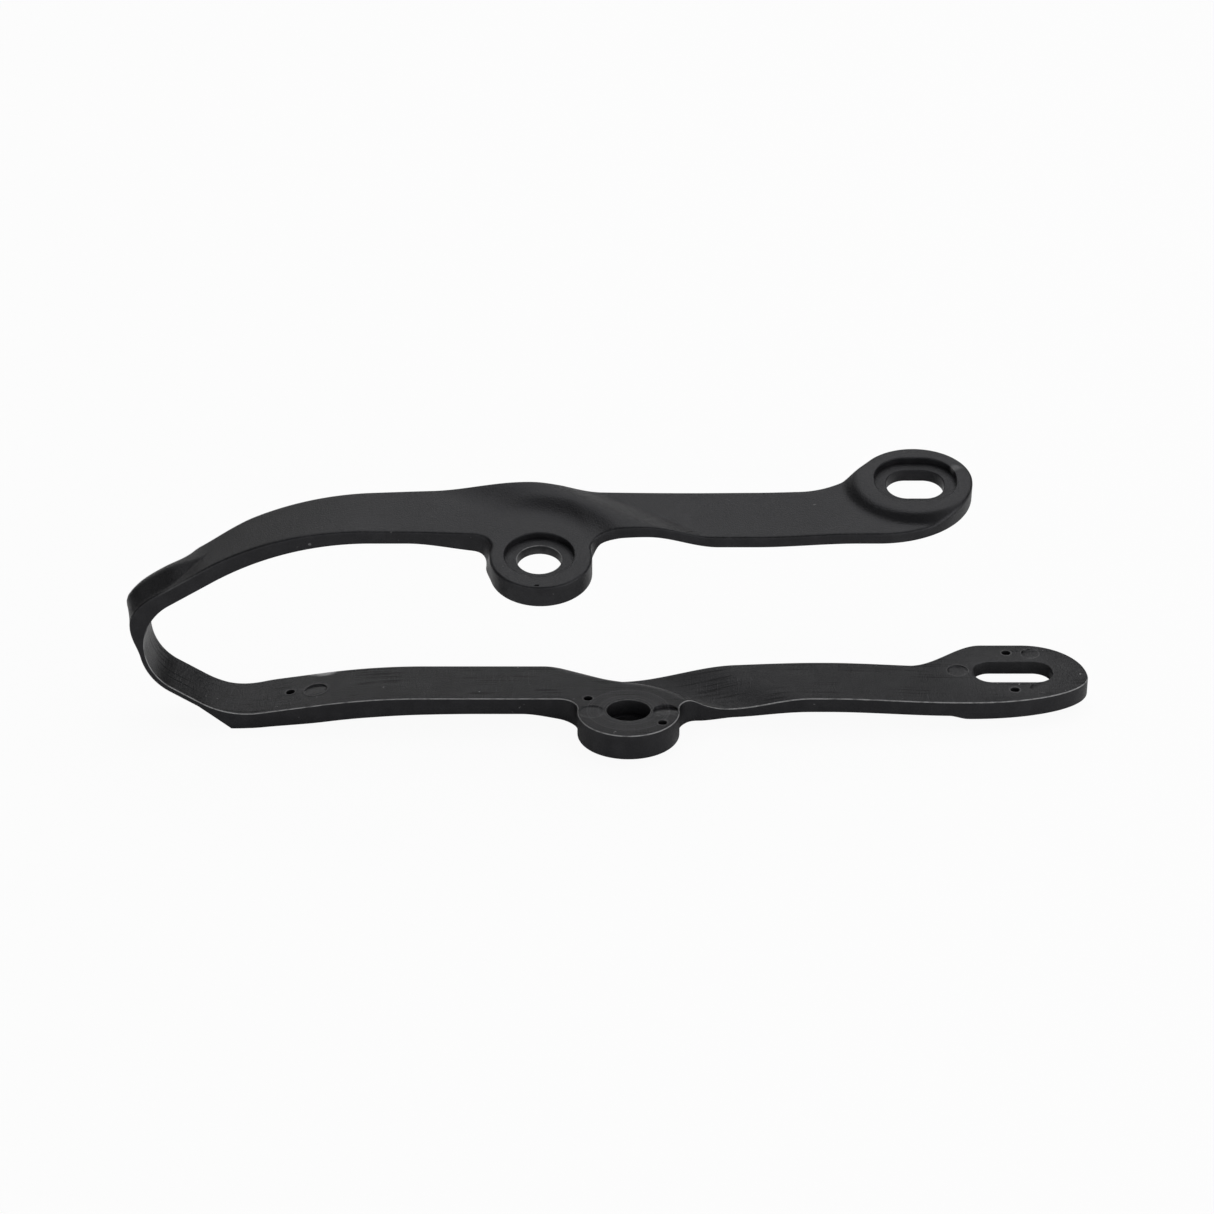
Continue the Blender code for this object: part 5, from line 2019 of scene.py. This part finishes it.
@dataclass(frozen=True)
class Studio:
    """Pale floor, soft lights and the camera at the photograph's viewing angle."""

    target_mm: tuple[float, float, float] = (-1.36, 4.48, 36.17)
    distance_mm: float = 1100.0
    elevation: float = 27.0
    frame_px: float = 1214.0
    mm_per_px: float = 0.3
    sensor_mm: float = 36.0
    surround: float = 0.02
    floor_tone: float = 0.92
    floor_reach: float = 4.0
    floor_glow: float = 0.94
    lamps: tuple[SoftBox, ...] = (
        SoftBox("rear_panel", -3.0, 43.0, (42.0, 14.0), 1.65),
        SoftBox("rear_high", 0.0, 62.0, (42.0, 20.0), 0.55),
        SoftBox("rear_low", -3.0, 14.0, (36.0, 12.0), 1.15),
        SoftBox("rear_left", -40.0, 20.0, (34.0, 16.0), 0.65),
        SoftBox("rear_right", 38.0, 45.0, (30.0, 14.0), 0.8),
        SoftBox("right_panel", 82.0, 50.0, (56.0, 28.0), 1.1),
        SoftBox("right_low", 114.0, 11.0, (34.0, 20.0), 3.2),
        SoftBox("left_low", -118.0, 8.0, (26.0, 16.0), 1.5),
        SoftBox("overhead", -16.0, 80.0, (46.0, 34.0), 1.55),
        SoftBox("front_left", -152.0, 16.0, (46.0, 30.0), 1.4),
        SoftBox("front_right", 152.0, 16.0, (46.0, 30.0), 1.7),
    )

    def camera(self) -> bpy.types.Object:
        """Camera: a focal length of distance over scale pixels, aimed at the target.

        Returns:
            The camera, made the scene's own.
        """
        data = bpy.data.cameras.new("camera")
        focal_px = self.distance_mm / self.mm_per_px
        data.sensor_width = self.sensor_mm
        data.lens = self.sensor_mm * focal_px / self.frame_px
        data.clip_start = 0.05
        data.clip_end = 50.0
        lean = math.radians(self.elevation)
        target = Vector(self.target_mm) * MM
        back = Vector((0.0, -math.cos(lean), math.sin(lean)))
        camera = bpy.data.objects.new("camera", data)
        camera.location = target + back * self.distance_mm * MM
        camera.rotation_euler = (math.radians(90.0) - lean, 0.0, 0.0)
        bpy.context.scene.collection.objects.link(camera)
        bpy.context.scene.camera = camera
        return camera

    def world(self) -> None:
        """Dim, even surround that looks white past the floor: 1 for camera rays."""
        world = bpy.data.worlds.new("studio")
        world.use_nodes = True
        tree = world.node_tree
        shade = next(n for n in tree.nodes if n.type == "BACKGROUND")
        shade.inputs["Color"].default_value = (1.0, 1.0, 1.0, 1.0)
        path = tree.nodes.new("ShaderNodeLightPath")
        strength = tree.nodes.new("ShaderNodeMath")
        strength.operation = "MULTIPLY_ADD"
        strength.inputs[1].default_value = 1.0 - self.surround
        strength.inputs[2].default_value = self.surround
        tree.links.new(path.outputs["Is Camera Ray"], strength.inputs[0])
        tree.links.new(strength.outputs["Value"], shade.inputs["Strength"])
        bpy.context.scene.world = world

    def floor(self) -> bpy.types.Object:
        """Flat pale floor, a square at z = 0; camera rays mostly see its plain white glow.

        Returns:
            The floor.
        """
        corners = np.array([[-1, -1, 0], [1, -1, 0], [1, 1, 0], [-1, 1, 0]], float)
        corners = corners * self.floor_reach
        mesh = bpy.data.meshes.new("floor")
        mesh.from_pydata(corners.tolist(), [], [(0, 1, 2, 3)])
        material = bpy.data.materials.new("floor_white")
        material.use_nodes = True
        tree = material.node_tree
        shader = next(n for n in tree.nodes if n.type == "BSDF_PRINCIPLED")
        shader.inputs["Base Color"].default_value = (*(self.floor_tone,) * 3, 1.0)
        shader.inputs["Roughness"].default_value = 0.9
        shader.inputs["Specular IOR Level"].default_value = 0.1
        glow = tree.nodes.new("ShaderNodeEmission")
        glow.inputs["Strength"].default_value = 1.0
        path = tree.nodes.new("ShaderNodeLightPath")
        share = tree.nodes.new("ShaderNodeMath")
        share.operation = "MULTIPLY"
        share.inputs[1].default_value = self.floor_glow
        tree.links.new(path.outputs["Is Camera Ray"], share.inputs[0])
        blend = tree.nodes.new("ShaderNodeMixShader")
        output = next(n for n in tree.nodes if n.type == "OUTPUT_MATERIAL")
        tree.links.new(share.outputs["Value"], blend.inputs["Fac"])
        tree.links.new(shader.outputs["BSDF"], blend.inputs[1])
        tree.links.new(glow.outputs["Emission"], blend.inputs[2])
        tree.links.new(blend.outputs["Shader"], output.inputs["Surface"])
        mesh.materials.append(material)
        plane = bpy.data.objects.new("floor", mesh)
        bpy.context.scene.collection.objects.link(plane)
        return plane

    def build(self) -> None:
        """Set up the camera, the surround, the floor and the lamps."""
        self.camera()
        self.world()
        self.floor()
        for lamp in self.lamps:
            lamp.build()
        bpy.context.scene.view_settings.view_transform = "Standard"


def main() -> None:
    """Load the frame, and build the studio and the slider."""
    logging.basicConfig(level=logging.INFO, format="%(name)s: %(message)s")
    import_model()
    Studio().build()
    slider = ChainSlider().build(SurfaceGroups())
    LOG.info("%s: %d triangles on %s", slider.name, len(slider.data.polygons), BODY)


if __name__ == "__main__":
    main()
